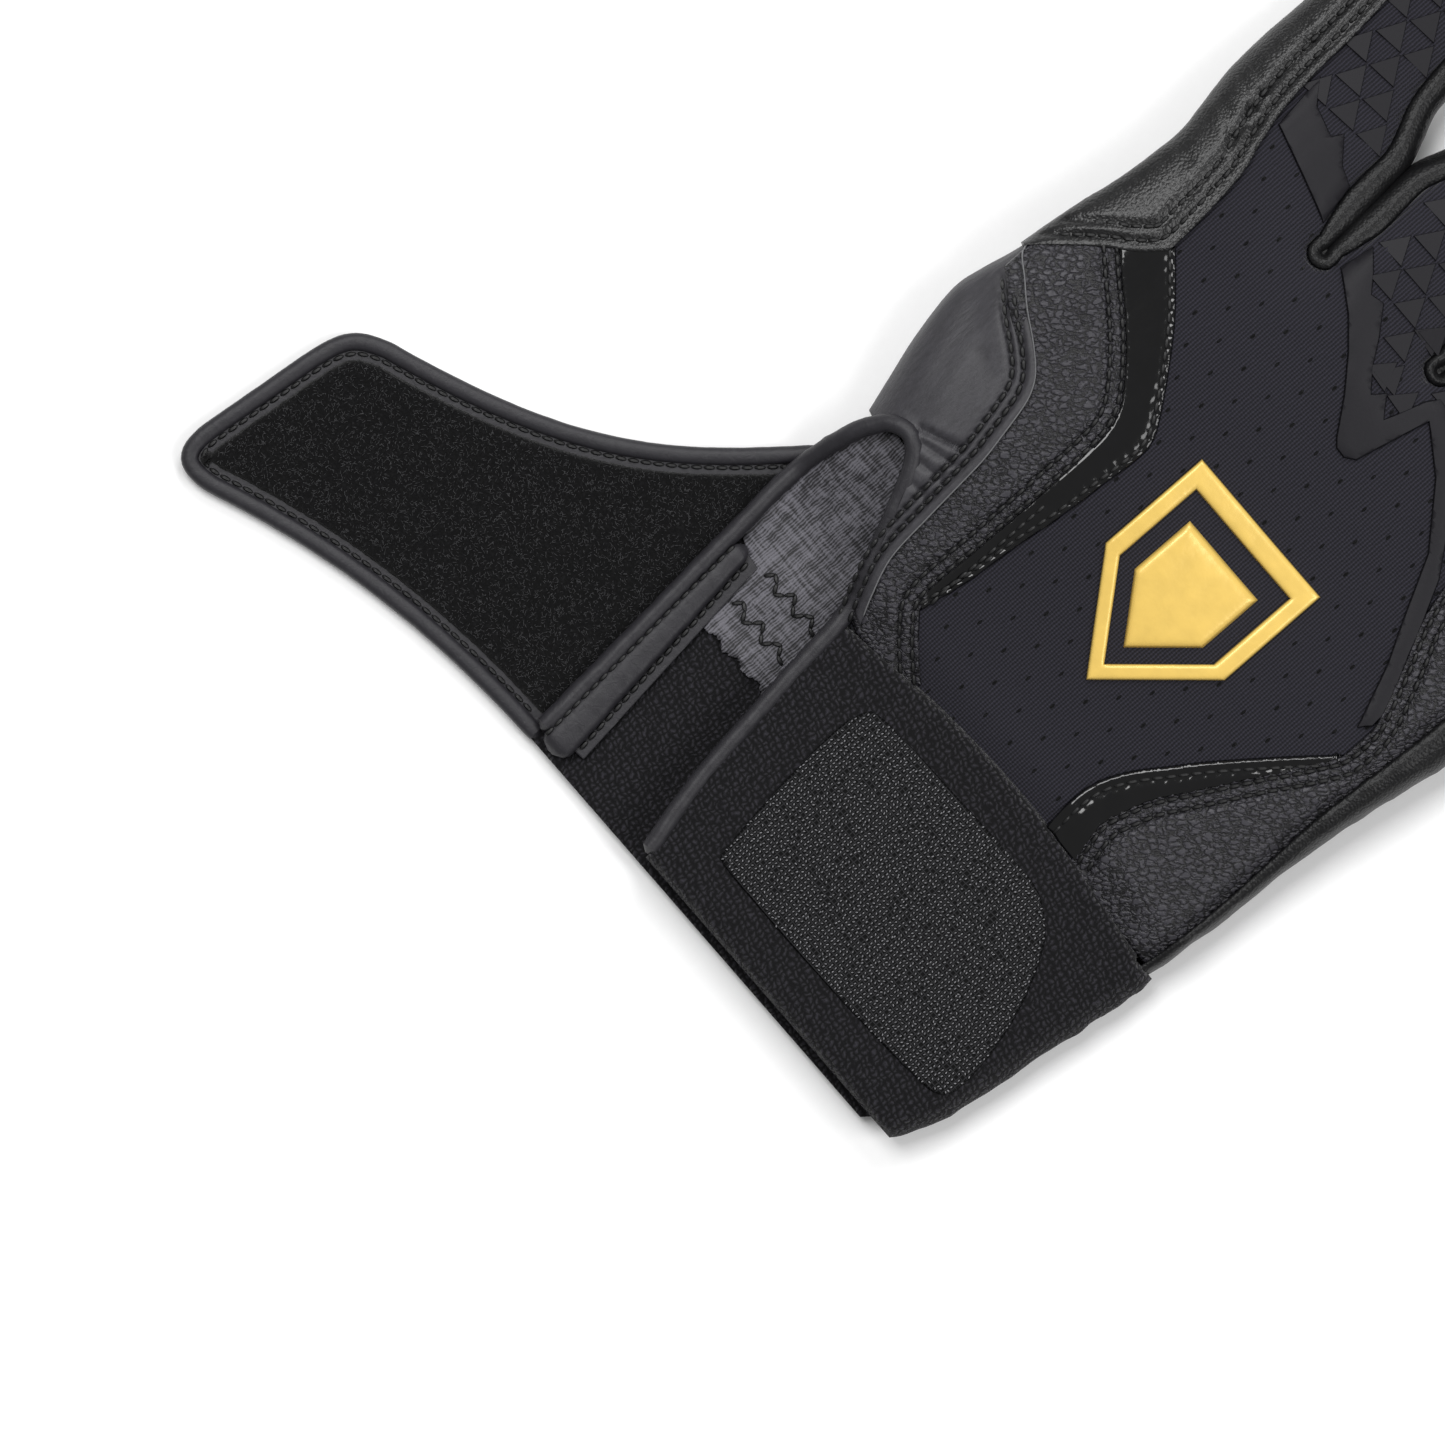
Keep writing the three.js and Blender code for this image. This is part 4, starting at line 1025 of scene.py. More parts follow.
class GLOVE_OT_thumb(GloveOperator):
    """Sew the thumb, tucked under the palm, and the panel round its base"""

    bl_idname = "glove.thumb"
    bl_label = "Thumb"

    def build(self):
        self.base_panel()
        self.tucked_thumb()

    def base_panel(self):
        """The panel that rolls over the thumb's side of the hand, and its pale cut edge."""
        slit_side = part(offset(SLIT, 0.3), 52, 90)
        lower = resample(slit_side[::-1][np.argmin(distance_to(THUMB_EDGE[:2], slit_side[::-1])):], count=60)
        lower = resample(np.vstack([THUMB_EDGE[:1], lower[1:]]), count=60)
        upper = resample(THUMB_SEAM, count=60)
        roll_end, roll_share = 0.45, 0.3
        folds = [(curve([(-44.2, 81.6), (-46, 88), (-49, 96), (-52, 104)]), 0.4, 2.2),
                 (curve([(-41.6, 81.4), (-42, 88), (-44.5, 95)]), 0.3, 2.0),
                 (straight([(-41.5, 80.4), (-34.5, 83.4)]), 0.7, 0.55),
                 (straight([(-39.6, 79), (-33.6, 80.6)]), 0.45, 0.6),
                 (straight([(-37.8, 76.6), (-33, 77.4)]), 0.45, 0.6),
                 (straight([(-36, 73.4), (-32.4, 73.6)]), 0.35, 0.6)]

        def place(u, v):
            rolled = u < roll_end
            turn = (np.clip(u / roll_end, 0, 1) - 0.4) / 0.6 * math.pi / 2
            under = turn < 0
            left = at(THUMB_EDGE, v)
            share = np.where(rolled, roll_share * (1 - np.cos(turn)),
                             roll_share + (1 - roll_share) * (u - roll_end) / (1 - roll_end))
            share = np.where(under, 0.5 * roll_share * (1 - np.cos(turn * 1.5)), share)[:, None]
            v = v[:, None]
            row = (1 - v) * at(lower, share[:, 0]) + v * at(upper, share[:, 0])
            corner = (1 - v) * lower[0] + v * upper[0]
            flat = row + (left - corner) * (1 - share)
            top = thumb_base_height(flat)
            middle = 0.5 * back_height(left)
            rise = np.where(rolled, np.sin(turn), 1)
            height = np.where(under, middle * (1 - np.sin(-turn * 1.5)), middle + (top - middle) * rise)
            relief = pressed(flat, THUMB_ROWS) + sum(
                depth * np.exp(-(distance_to(line, flat) / width) ** 2) for line, depth, width in folds)
            return np.column_stack([flat, height - np.where(under, 0, relief * rise)])

        panel = mapped_grid(120, 110, place)
        make_piece("thumb_base_leather", panel, smooth_synthetic(), ["thumb_base_panel"],
                   thickness=SYNTHETIC)
        edge = resample(THUMB_SEAM, 0.8)[2:-2]
        path = lifted(edge, raised(thumb_base_height, -0.18))
        make_piece("thumb_base_cut_edge", swept_roll(path, 0.13, 0.28, 8), raw_edge())

    def tucked_thumb(self):
        """The flat thumb under the palm: a gusset between a back and a front."""
        half = THUMB_WIDTH / 2
        turn = np.linspace(math.pi, 0, 40)
        tip = [THUMB_LINE[1] + THUMB_ACROSS * half * math.cos(t) + THUMB_ALONG * half * math.sin(t)
               for t in turn]
        sides = [THUMB_ROOT + THUMB_ACROSS * side * half + THUMB_ALONG * along
                 for side, along in ((-1, 6), (1, -8))]
        edge = resample(np.array([sides[0], *tip, sides[1]]), 1.5)
        seam = offset(edge, 3.5)

        def place(u, v):
            angle = (-math.pi / 2 + math.pi * u)[:, None]
            flat = at(edge, v) + (at(seam, v) - at(edge, v)) * (1 - np.cos(angle))
            return np.column_stack([flat, THUMB_HEIGHT / 2 * (1 + np.sin(angle[:, 0]))])

        gusset = mapped_grid(18, len(edge) - 1, place)
        goatskin_piece("thumb_gusset_leather", gusset, "thumb_gusset")
        field = offset(edge, 3.4)
        back = np.vstack([field, curve([(-44, 80.6), (-48.4, 85), (-51.2, 92), (-52.2, 98), (-50.5, 103)])])
        bm = cut_sheet(back, 2.5, level(LEATHER), rims=())
        make_piece("thumb_back_synthetic", bm, smooth_synthetic(), ["thumb_back"],
                   thickness=LEATHER)
        front = np.vstack([field, [(-40.5, 82), (-42, 108)]])
        bm = cut_sheet(front, 2.5, level(THUMB_HEIGHT), rims=())
        goatskin_piece("thumb_front_leather", bm, "thumb_front")


RADIAL_COVER = np.vstack([
    RADIAL_EDGE, [(-12, 50.4), (-23, 50.4)], offset(THUMB_SEAM, 3)[::-1][2:-6],
    offset(INDEX_SEAM, -np.minimum(2.4, 0.4 * index_seam_width(INDEX_EDGE)))[1:17]])
ULNAR_COVER = np.vstack([
    ULNAR_EDGE, ULNAR_TOP[1:], [(44, 144)], part(offset(LITTLE_SEAM, -0.6), 50.6, 146),
    [(47, 50.6), (29, 50.6)]])


def overlay_height(outline, rows):
    """Face of a leather overlay, round at its cut edge and drawn in along its stitches."""
    return lambda p: back_height(p) + rounded(outline, p, OVERLAY_RISE) - pressed(p, rows) - under_walls(p)


def under_walls(places):
    """How far the side leathers of the index and little finger press down what they are sewn over."""
    covered = inside(INDEX_COVER, places)
    under_index = np.where(covered, 1.5 * smooth(distance_to(INDEX_SEAM, places), 0, 1.2), 0)
    return under_index + 1.2 * (1 - smooth(distance_to(LITTLE_SEAM, places), 0, 2.5))


class GLOVE_OT_overlays(GloveOperator):
    """Sew the pebbled leather overlays on both sides of the hand"""

    bl_idname = "glove.overlays"
    bl_label = "Overlays"

    def build(self):
        for side, cover, rows in (
                ("radial", RADIAL_COVER, RADIAL_ROWS), ("ulnar", ULNAR_COVER, ULNAR_ROWS)):
            sheet = cut_sheet(cover, 0.55, overlay_height(cover, rows))
            make_piece(f"{side}_overlay_leather", sheet, pebbled_leather(), [f"{side}_overlay"],
                       thickness=LEATHER)


class GLOVE_OT_trims(GloveOperator):
    """Sew the patent trims beside the overlays"""

    bl_idname = "glove.trims"
    bl_label = "Patent trims"

    def build(self):
        inner = part(offset(RADIAL_EDGE, 1.0), 61, 130)
        outline = np.vstack([inner, RADIAL_TRIM_EDGE[::-1]])
        self.trim("radial", outline, self.rows()[:2])
        outline = np.vstack([offset(ULNAR_EDGE, 1.0)[:-3], ULNAR_TRIM_EDGE[::-1]])
        self.trim("ulnar", outline, self.rows()[2:])

    @staticmethod
    def rows():
        """Stitch rows of the two trims."""
        return [offset(RADIAL_TRIM_EDGE, 1.1), part(offset(RADIAL_EDGE, -1.0), 62, 88),
                offset(ULNAR_TRIM_EDGE, 1.8)[:-4]]

    def trim(self, side, outline, rows):
        """One patent strip, pressed in along its rows of stitches."""
        def height(places):
            face = back_height(places) + rounded(outline, places, 0.9, 0.7)
            return face - pressed(places, rows, 0.1, 0.6)

        sheet = cut_sheet(outline, 0.7, height, rims=(0.3, 0.4))
        make_piece(f"{side}_patent", sheet, patent(), [f"{side}_trim"], thickness=PATENT_SHEET)


INDEX_GUARD = straight([
    (-40.8, 157.6), (-23.6, 152.6), (-25.2, 160), (-28.6, 161.2), (-32.5, 165), (-33.6, 163), (-38.8, 164.6),
    (-42.2, 168.4)], 1.5)
MAIN_GUARD = straight([
    (-16.4, 149.9), (-9.7, 145.5), (-5, 141.4), (0, 136.2), (4.2, 131), (5.6, 129.8), (7.6, 129.7),
    (9.3, 131), (10.2, 134.8), (12.4, 144.2), (20, 139), (28.6, 130), (34, 120), (38, 113), (42.6, 102.4),
    (44.2, 104.5), (44, 107), (42.4, 110.8), (39.4, 116.5), (37, 121.5), (33.2, 128.6), (26, 137.5),
    (19.5, 144), (14, 147.8), (10.8, 148.4), (9.4, 146), (7.2, 138.9), (4.3, 142.2), (2.7, 140),
    (-0.6, 143.3), (-3.3, 147), (-7.2, 151.4), (-9.6, 150.8), (-11.9, 153.3), (-15.4, 156.4)], 1.5)


class GLOVE_OT_knuckle_guards(GloveOperator):
    """Mould the rubber knuckle guards and the triangle studs on the fingers"""

    bl_idname = "glove.knuckle_guards"
    bl_label = "Knuckle guards"

    def build(self):
        for name, outline in (("index", INDEX_GUARD), ("main", MAIN_GUARD)):
            def height(places, border=outline):
                return knit_height(places) + rounded(border, places, 0.8, 0.6)

            guard = cut_sheet(outline, 1.2, height, rims=(0.25,))
            make_piece(f"{name}_guard_rubber", guard, moulded_rubber(), [f"{name}_knuckle_guard"],
                       thickness=GUARD_RUBBER)
        shape = bmesh.new()
        bmesh.ops.create_cone(shape, cap_ends=True, segments=3, radius1=STUD_RADII[0], radius2=STUD_RADII[1],
                              depth=STUD_DEPTH)
        bmesh.ops.translate(shape, vec=(0, 0, 0.1), verts=shape.verts)
        studs = scatter(shape, [spot for finger in FINGERS for spot in self.stud_spots(finger)])
        make_piece("finger_studs", drape(studs, knit_height), moulded_rubber(), (), sharp=25)

    @staticmethod
    def stud_spots(finger):
        """Transforms of the triangles along a finger, each row shifted half a step."""
        pitch = sizes().stud_pitch / MM
        cells = [(row, column + (row % 2) / 2) for row in range(-4, 16) for column in range(-3, 4)]
        middles = np.array([
            finger["stud"] + finger["along"] * row * STUD_ROW + finger["across"] * column * pitch
            for row, column in cells])
        free = inside(BACK_OUTLINE, middles) & above_guards(middles)
        free &= distance_to(BACK_OUTLINE, middles) > 1.6
        for cover in (INDEX_COVER, INDEX_GUARD, MAIN_GUARD, ULNAR_COVER):
            free &= ~inside(cover, middles)
        turn = Matrix.Rotation(-math.radians(finger["splay"]), 4, "Z")
        return [Matrix.Translation((x, y, 0)) @ turn for x, y in middles[free]]


INDEX_COVER = np.vstack([INDEX_EDGE, INDEX_SEAM[::-1]])


def above_guards(places):
    """Which places lie on the fingertip side of the guards."""
    across = [-50, -40, -22, -20, -15, -9, -3, 4, 7, 9, 14, 26, 32, 37, 43, 60]
    along = [166, 163.5, 159, 160, 157, 152, 147, 141, 139, 147, 149, 139, 131, 119, 110, 108]
    return places[:, 1] > np.interp(places[:, 0], across, along)


EMBLEM_CENTRE = np.array([7.5, 93.0])
EMBLEM_SIZE = (30.0, 38.0)


def home_plate(scale):
    """Outline of a plain home plate about the emblem's centre."""
    half, top = EMBLEM_SIZE[0] / 2 * scale, EMBLEM_SIZE[1] / 2 * scale
    shoulder = -EMBLEM_SIZE[1] * 0.05 * scale
    corners = [(-half, top), (-half, shoulder), (0, -top), (half, shoulder), (half, top)]
    return np.array(corners) + EMBLEM_CENTRE


EMBLEM_OUTLINE = home_plate(1)


class GLOVE_OT_emblem(GloveOperator):
    """Press the raised gold home plate and its rim"""

    bl_idname = "glove.emblem"
    bl_label = "Emblem"

    def build(self):
        for name, scales, crowns in (("plate", (0.573, 0), 1), ("rim", (1, 0.787), 2)):
            bm = self.ring(*scales, crowns)
            make_piece(f"emblem_{name}_gold", bm, gold_transfer(), [f"emblem_{name}"],
                       sharp=50, thickness=GOLD_FILM)

    def ring(self, outer_scale, inner_scale, crowns):
        """A raised band between two home plates; its crown falls at the outer edge, or at both."""
        outer = self.edge(outer_scale)
        inner = EMBLEM_CENTRE + (outer - EMBLEM_CENTRE) * inner_scale / outer_scale

        def place(u, v):
            flat = at(outer, v) + (at(inner, v) - at(outer, v)) * u[:, None]
            crown = np.sqrt(1 - np.abs(np.minimum(crowns * u, 1 if crowns == 1 else 2) - 1) ** (10 / crowns))
            return np.column_stack([flat, back_height(flat) + crown])

        bm = mapped_grid(16, len(outer) - 1, place)
        bmesh.ops.reverse_faces(bm, faces=bm.faces)
        bmesh.ops.remove_doubles(bm, verts=bm.verts, dist=1e-4)
        return bm

    @staticmethod
    def edge(scale):
        """Closed line of the home plate, with as many points at every scale."""
        corners = home_plate(scale)
        return straight(np.vstack([corners, corners[:1]]), 1.2 * scale)


HOOK_OUTLINE = curve([(-10.6, 12), (-11.4, 17), (-12.6, 27), (-13.3, 37), (-12.6, 42), (-9.5, 44.6),
                      (10, 45.4), (26, 45.6), (32, 43.6), (36.4, 39.6), (41, 31), (43.8, 21.7), (44.6, 14),
                      (43, 10.8), (38, 9.8), (20, 8.8), (-7, 8.8), (-10.2, 10.4)], 1.2)


def cuff_side(y):
    """Outer edge of the folded cuff, fuller towards the hand."""
    side = np.interp(y, [0, 3, 10, 20, 30, 40, 47, 50], [43.5, 45.2, 47.5, 48.9, 50, 51.7, 52.5, 52])
    uneven = undulation(np.column_stack([np.zeros_like(y), y]), 3.4, 0.45)
    return side + uneven


def cuff_height(places):
    """Face of the cuff's upper layer, which turns down at the fold."""
    fold = CUFF_HEIGHT / 2
    beyond = np.clip((places[:, 0] - cuff_side(places[:, 1])) / fold + 1, 0, 1)
    return fold + fold * np.sqrt(1 - beyond ** 2)


def cuff_top(x):
    """Distal edge of the cuff, arched over the back of the hand."""
    share = np.clip((x + 26.5) / (CUFF_CORNER_X + 26.5), 0, 1)
    return CUFF_LENGTH + CUFF_ARCH * np.sin(share * math.pi)


class GLOVE_OT_cuff(GloveOperator):
    """Fold the elastic cuff and fix its hook patch"""

    bl_idname = "glove.cuff"
    bl_label = "Cuff"

    def build(self):
        fold = CUFF_HEIGHT / 2
        fold_start, fold_end = 0.4, 0.52

        def place(u, v):
            y = v * CUFF_LENGTH
            fold_x = cuff_side(y) - fold
            under = u < fold_start
            over = u > fold_end
            turn = (np.clip((u - fold_start) / (fold_end - fold_start), 0, 1) - 0.5) * math.pi
            x_under = root_x(y) + 0.5 + (fold_x - root_x(y) - 0.5) * u / fold_start
            slit_x = np.interp(y, SLIT[:60, 1], SLIT[:60, 0]) + 0.4
            x_over = fold_x + (slit_x - fold_x) * (u - fold_end) / (1 - fold_end)
            x = np.where(under, x_under, np.where(over, x_over, fold_x + fold * np.cos(turn)))
            y = np.where(over, v * cuff_top(x), np.where(under, y - 1.5 * (1 - v), y))
            z = fold + fold * np.sin(turn)
            ends = np.clip(np.minimum(v, 1 - v) * CUFF_LENGTH / 2, 0, 1)
            z = z - 1.5 * np.maximum(np.sin(turn), 0) * (1 - np.sqrt(1 - (1 - ends) ** 2))
            z = z + np.where(over, undulation(np.column_stack([x, y]), 11, 0.4), 0)
            return np.column_stack([x, y, z])

        band = mapped_grid(170, 60, place)
        bmesh.ops.reverse_faces(band, faces=band.faces)
        make_piece("cuff_elastic_band", band, woven_elastic(), ["cuff_elastic"], sharp=60,
                   thickness=ELASTIC)

        def patch_height(places):
            return cuff_height(places) + 0.1 + rounded(HOOK_OUTLINE, places, 0.55, 0.6)

        patch = cut_sheet(HOOK_OUTLINE[:-1], 2.0, patch_height)
        make_piece("hook_patch_tape", patch, hook_tape(), ["hook_patch"], thickness=HOOK_TAPE)
        self.hooks()

    def hooks(self):
        """Rows of tiny bent hooks over the patch."""
        pitch = sizes().hook_pitch / MM
        low, high = HOOK_OUTLINE.min(0), HOOK_OUTLINE.max(0)
        rows = np.arange(low[1], high[1], pitch)
        spots = np.stack(np.meshgrid(np.arange(low[0], high[0], pitch), rows), -1).reshape(-1, 2)
        spots = spots + RANDOM.normal(0, 0.09, spots.shape)
        spots = spots[inside(HOOK_OUTLINE, spots) & (distance_to(HOOK_OUTLINE, spots) > 0.2)]
        spots = spots[RANDOM.uniform(size=len(spots)) > HOOKS_MISSING]
        shape = bmesh.new()
        bmesh.ops.create_icosphere(shape, subdivisions=1, radius=1)
        bmesh.ops.scale(shape, vec=HOOK_SIZE, verts=shape.verts)
        turns = [Matrix.Rotation(turn, 4, "Z") for turn in RANDOM.normal(0, 0.5, len(spots))]
        bm = scatter(shape, [Matrix.Translation((x, y, 0)) @ turn for (x, y), turn in zip(spots, turns)])
        drape(bm, raised(cuff_height, 0.7))
        # The hooks' pale colour is a painted glint.
        make_piece("patch_hooks", bm, filament_with_painted_glint("hook_tips"), ())


HEM_ROW = straight([(-44.1, 0.6), (-47.3, 45)])
FLANGE_ROW = straight([(-38.6, 3.4), (-43.7, 44.8)])


class GLOVE_OT_wrist_slit(GloveOperator):
    """Bind the wrist slit and sew the strap's root and the lining inside it"""

    bl_idname = "glove.wrist_slit"
    bl_label = "Wrist slit"

    def build(self):
        on_cuff = CUFF_HEIGHT - 0.9
        around = np.arange(len(SLIT)) / (len(SLIT) - 1)
        apex = np.argmax(SLIT[:, 1])
        over = back_height(SLIT) - 0.2
        over = np.where(SLIT[:, 1] < 60, on_cuff + (over - on_cuff) * smooth(SLIT[:, 1], 48, 60), over)
        low = palm_height(SLIT) + 2.6
        low = np.maximum(np.where(SLIT[:, 1] < 50, 3.8, low), 3.8)
        share = smooth(around, around[apex] - 0.02, around[apex] + 0.12)
        path = np.column_stack([SLIT, over * (1 - share) + low * share])
        binding = wrinkle(swept_roll(path, BINDING_RADIUS, BINDING_RADIUS, 16), (2.5, 1.6, 2.5), 0.14)
        make_piece("slit_binding_roll", binding, folded_leather(), ["slit_binding"])
        along = np.linspace(-0.6, 46.3, 60)
        path = np.column_stack([-41.6 - 0.0975 * along, along, np.full(60, ELASTIC + 0.75)])
        hem = wrinkle(swept_roll(path, np.linspace(3.0, 1.8, 60), 2.35, 30, 3.2), (2.5, 1.6, 2.5), 0.12)
        make_piece("root_hem_roll", hem, folded_leather(), ["root_hem"])
        flange = straight([(-42, 2.2), (-37, 2.8), (-42, 45.4), (-47, 46)], 2)
        bm = cut_sheet(flange, 2, lambda p: palm_height(p) + ELASTIC + 1.2)
        make_piece("root_flange_leather", bm, folded_leather(), (), thickness=LEATHER)
        self.lining()

    def lining(self):
        """Grey tricot with a pinked edge and two zigzag seams."""
        x = np.linspace(-40.4, -25.5, 45)
        frayed = 32.5 + RANDOM.normal(0, 0.2, 45) + 0.4 * np.sin(x * 1.3)
        outline = np.vstack([np.column_stack([x, frayed]), [
            (-26.5, 45), (-28.2, 54), (-31.5, 62), (-36, 70), (-39.6, 76.4), (-43, 77), (-47, 75),
            (-49.4, 66), (-49.6, 56), (-48.6, 47.4), (-43, 45)]])

        def height(places):
            folds = undulation(places * (1, 0.35), 3.5, 0.9) * smooth(places[:, 1], 32, 44)
            return palm_height(places) + ELASTIC + 0.9 + folds

        bm = cut_sheet(outline, 1.2, height, rims=())
        make_piece("slit_lining_tricot", bm, tricot(), ["palm_lining"], thickness=LINING_CLOTH)
        zigzags = []
        for y in (38.8, 45.8):
            x = np.linspace(-40.4, -27.4, 90)
            swing = np.arcsin(np.sin((x + 40) / 4.4 * 2 * math.pi)) / math.pi * 2
            zigzags.append(lifted(np.column_stack([x, y + 1.6 * swing]), raised(height, 0.2)))
        make_piece("lining_zigzag_thread", thread(zigzags), sewing_thread())


def strap_outline(spacing=1.0):
    """Edge of the open strap, from the foot of its root round its end to the head of its root."""
    lower = bezier((-44.5, -1.8), (-74.8, -2.2), (-94.8, -8.4), (-111.5, -15.2))
    corner = bezier((-111.5, -15.2), (-117.6, -17), (-121.2, -15.4), (-120.2, -7))
    end = straight([(-120.2, -7), (-118.2, 11.5)])
    upper_corner = bezier((-118.2, 11.5), (-117.2, 19.2), (-116, 21.4), (-110, 24.2))
    upper = np.vstack([bezier((-110, 24.2), (-74.4, 36.4), (-65, 48.6), (-51.2, 66)), [(-49.4, 67.1)]])
    return resample(np.vstack([lower, corner[1:], end[1:], upper_corner[1:], upper[1:]]), spacing)


class GLOVE_OT_strap(GloveOperator):
    """Sew the strap: leather, loop pile and rolled edge"""

    bl_idname = "glove.strap"
    bl_label = "Strap"

    def build(self):
        edge = strap_outline()
        roll = offset(edge, STRAP_ROLL)
        path = np.column_stack([roll, np.full(len(roll), STRAP_ROLL)])
        roll = wrinkle(swept_roll(path, STRAP_ROLL, STRAP_ROLL - 0.05, 18, 2.5), (2.5, 2.5, 2.5), 0.05)
        make_piece("strap_edge_roll", roll, folded_leather(),
                   ["strap_rolled_edge"], body="strap")
        leather = self.field(edge, 2.2)
        bm = cut_sheet(leather, 2.0, level(STRAP_FACE), rims=())
        make_piece("strap_leather_sheet", bm, folded_leather(), ["strap_leather"],
                   body="strap", thickness=STRAP_SHEET)
        pile = self.field(edge, 4.4)

        def fuzz(places):
            tufts = undulation(places, 0.9, 0.35) + undulation(places, 6, 0.2)
            return 1.7 + rounded(pile, places, 1.1, 1.0) + tufts

        bm = cut_sheet(pile, 0.6, fuzz, rims=(0.4,))
        make_piece("strap_loops", bm, loop_pile(), ["strap_loop_pile"], body="strap", sharp=180,
                   thickness=STRAP_PILE)
        self.fibres(pile, fuzz)

    @staticmethod
    def fibres(pile, height):
        """Loose ends of the loops, lying every way on the pile."""
        low, high = pile.min(0), pile.max(0)
        spots = RANDOM.uniform(low, high, (FIBRE_COUNT, 2))
        spots = spots[inside(pile, spots) & (distance_to(pile, spots) > 0.6)]
        shape = bmesh.new()
        bmesh.ops.create_cone(shape, cap_ends=True, segments=3, radius1=0.042, radius2=0.03, depth=1)
        turns = []
        for lie, tilt, length in zip(RANDOM.uniform(0, 360, len(spots)), RANDOM.uniform(55, 88, len(spots)),
                                     RANDOM.uniform(0.2, 0.75, len(spots))):
            turn = Matrix.Rotation(math.radians(lie), 4, "Z") @ Matrix.Rotation(math.radians(tilt), 4, "X")
            turns.append(turn @ Matrix.Diagonal((1, 1, length, 1)))
        places = np.column_stack([spots, height(spots) + 0.1])
        bm = scatter(shape, [Matrix.Translation(place) @ turn for place, turn in zip(places, turns)])
        # The fibres' pale colour is a painted glint.
        make_piece("strap_fibres", bm, filament_with_painted_glint("fibres"), (), body="strap")

    @staticmethod
    def field(edge, inward):
        """The strap's outline drawn in, and cut along its root."""
        line = offset(edge, inward)
        return np.column_stack([np.minimum(line[:, 0], root_x(line[:, 1]) + 1.2), line[:, 1]])


class GLOVE_OT_stitching(GloveOperator):
    """Sew every row of stitches"""

    bl_idname = "glove.stitching"
    bl_label = "Stitching"

    def build(self):
        groups = {
            "radial_overlay": [lifted(row, raised(back_height, 0.8)) for row in RADIAL_ROWS],
            "ulnar_overlay": [lifted(row, raised(back_height, 0.8)) for row in ULNAR_ROWS],
            "thumb_base": [lifted(row, raised(thumb_base_height, -0.25)) for row in THUMB_ROWS],
            "index_side": [index_row(distance) for distance in INDEX_ROW_DISTANCES],
            "patent": [lifted(row, raised(back_height, 0.6)) for row in GLOVE_OT_trims.rows()],
        }
        for name, paths in groups.items():
            make_piece(f"stitches_{name}", thread(paths), sewing_thread())
        root = [lifted(HEM_ROW, level(HEM_ROW_HEIGHT)), lifted(FLANGE_ROW, level(ELASTIC + 1.4))]
        make_piece("stitches_root", thread(root), sewing_thread())
        strap = lifted(offset(strap_outline(), STRAP_ROW_INSET)[4:-4], level(2.0))
        make_piece("stitches_strap", thread([strap]), sewing_thread(), body="strap")


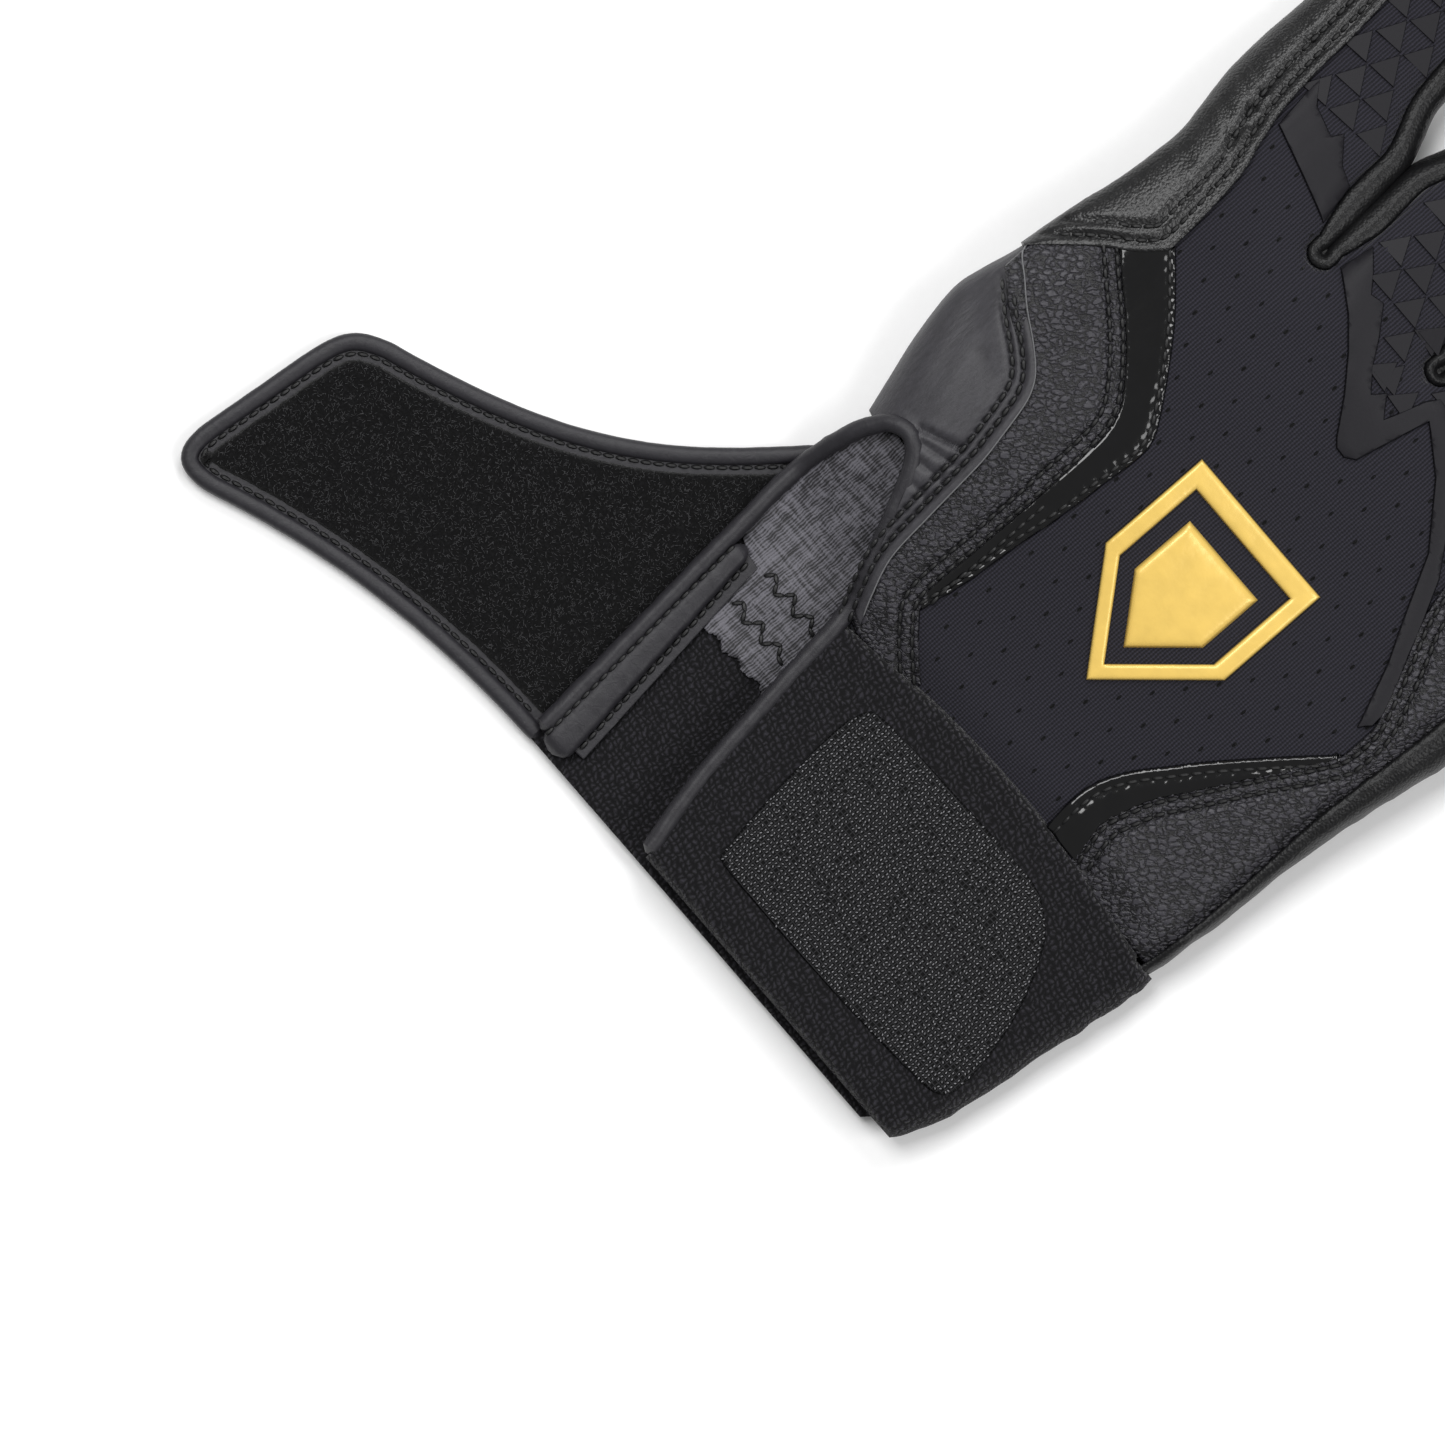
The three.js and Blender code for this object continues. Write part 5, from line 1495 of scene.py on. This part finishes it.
class GLOVE_OT_stage(GloveOperator):
    """Set up the floor, the lamps and the camera"""

    bl_idname = "glove.stage"
    bl_label = "Stage"

    def build(self):
        bm = bmesh.new()
        bmesh.ops.create_grid(bm, x_segments=2, y_segments=2, size=2.5)
        bmesh.ops.translate(bm, vec=(0, 0, -0.0004), verts=bm.verts)
        mesh = bpy.data.meshes.new("floor")
        bm.to_mesh(mesh)
        bm.free()
        mesh.materials.append(floor_paper())
        floor = bpy.data.objects.new("floor", mesh)
        bpy.context.scene.collection.objects.link(floor)
        self.lamps()
        self.world()
        self.camera()
        bpy.context.scene.view_settings.view_transform = "Standard"

    def lamps(self):
        """Softboxes on both sides of the camera, high enough to leave only faint shadows."""
        right, up = self.image_axes()
        for name, side, rise, height, size, power in (
                ("key", -0.3, 0.55, 1.2, 0.6, 9.5), ("fill", 0.85, -0.2, 1.05, 0.7, 8),
                ("top", 0.3, 0.95, 0.9, 0.5, 6)):
            data = bpy.data.lights.new(name, "AREA")
            data.shape = "SQUARE"
            data.size = size
            data.energy = power
            lamp = bpy.data.objects.new(name, data)
            lamp.location = right * side + up * rise + Vector((0, 0, height))
            lamp.rotation_euler = lamp.location.to_track_quat("Z", "Y").to_euler()
            bpy.context.scene.collection.objects.link(lamp)

    def world(self):
        """Dim even surroundings, white where the camera sees them."""
        world = bpy.data.worlds.new("studio")
        bpy.context.scene.world = world
        world.use_nodes = True
        tree = world.node_tree
        path = add_node(tree, "ShaderNodeLightPath")
        seen = add_node(tree, "ShaderNodeMapRange", None, {
            "Value": path.outputs["Is Camera Ray"], "To Min": 0.3, "To Max": 1.0})
        tree.nodes["Background"].inputs["Color"].default_value = (1, 1, 1, 1)
        tree.links.new(seen.outputs[0], tree.nodes["Background"].inputs["Strength"])

    @staticmethod
    def image_axes():
        """Directions of the picture's right and up in the frame."""
        turn = math.radians(PICTURE_TURN)
        right = Vector((math.sin(turn), math.cos(turn), 0))
        return right, Vector((-right.y, right.x, 0))

    def camera(self):
        """Straight above, turned so that the fingers point to the upper right and leave the frame."""
        right, up = self.image_axes()
        data = bpy.data.cameras.new("camera")
        data.lens = CAMERA_LENS
        data.sensor_width = CAMERA_SENSOR
        distance = PICTURE_WIDTH / data.sensor_width * data.lens
        camera = bpy.data.objects.new("camera", data)
        turn = Matrix((right, up, Vector((0, 0, 1)))).transposed()
        place = Vector(PICTURE_MIDDLE) + Vector((0, 0, distance))
        camera.matrix_world = Matrix.Translation(place) @ turn.to_4x4()
        data.clip_start, data.clip_end = 0.05, 10
        bpy.context.scene.collection.objects.link(camera)
        bpy.context.scene.camera = camera


OPERATORS = (
    GLOVE_OT_palm, GLOVE_OT_back_panel, GLOVE_OT_finger_walls, GLOVE_OT_thumb, GLOVE_OT_overlays,
    GLOVE_OT_trims, GLOVE_OT_knuckle_guards, GLOVE_OT_emblem, GLOVE_OT_cuff, GLOVE_OT_wrist_slit,
    GLOVE_OT_strap, GLOVE_OT_stitching, GLOVE_OT_stage,
)


class GLOVE_PT_sidebar(bpy.types.Panel):
    """Lists the steps of the glove and its sizes and colours."""

    bl_idname = "GLOVE_PT_sidebar"
    bl_label = "Batting glove"
    bl_space_type = "VIEW_3D"
    bl_region_type = "UI"
    bl_category = "Glove"

    def draw(self, context):
        for operator in OPERATORS:
            self.layout.operator(operator.bl_idname)
        for group in (context.scene.glove_sizes, context.scene.glove_colours):
            for name in group.__annotations__:
                self.layout.prop(group, name)


CLASSES = (GloveSizes, GloveColours, *OPERATORS, GLOVE_PT_sidebar)


def register():
    """Registers the classes and hangs the sizes and colours on the scene."""
    for kind in CLASSES:
        bpy.utils.register_class(kind)
    bpy.types.Scene.glove_sizes = bpy.props.PointerProperty(type=GloveSizes)
    bpy.types.Scene.glove_colours = bpy.props.PointerProperty(type=GloveColours)


def unregister():
    """Takes the sizes, colours and classes away again."""
    del bpy.types.Scene.glove_colours
    del bpy.types.Scene.glove_sizes
    for kind in reversed(CLASSES):
        bpy.utils.unregister_class(kind)


def main():
    """Registers the classes and sews the whole glove."""
    register()
    for operator in OPERATORS:
        group, name = operator.bl_idname.split(".")
        getattr(getattr(bpy.ops, group), name)()


if __name__ == "__main__":
    main()
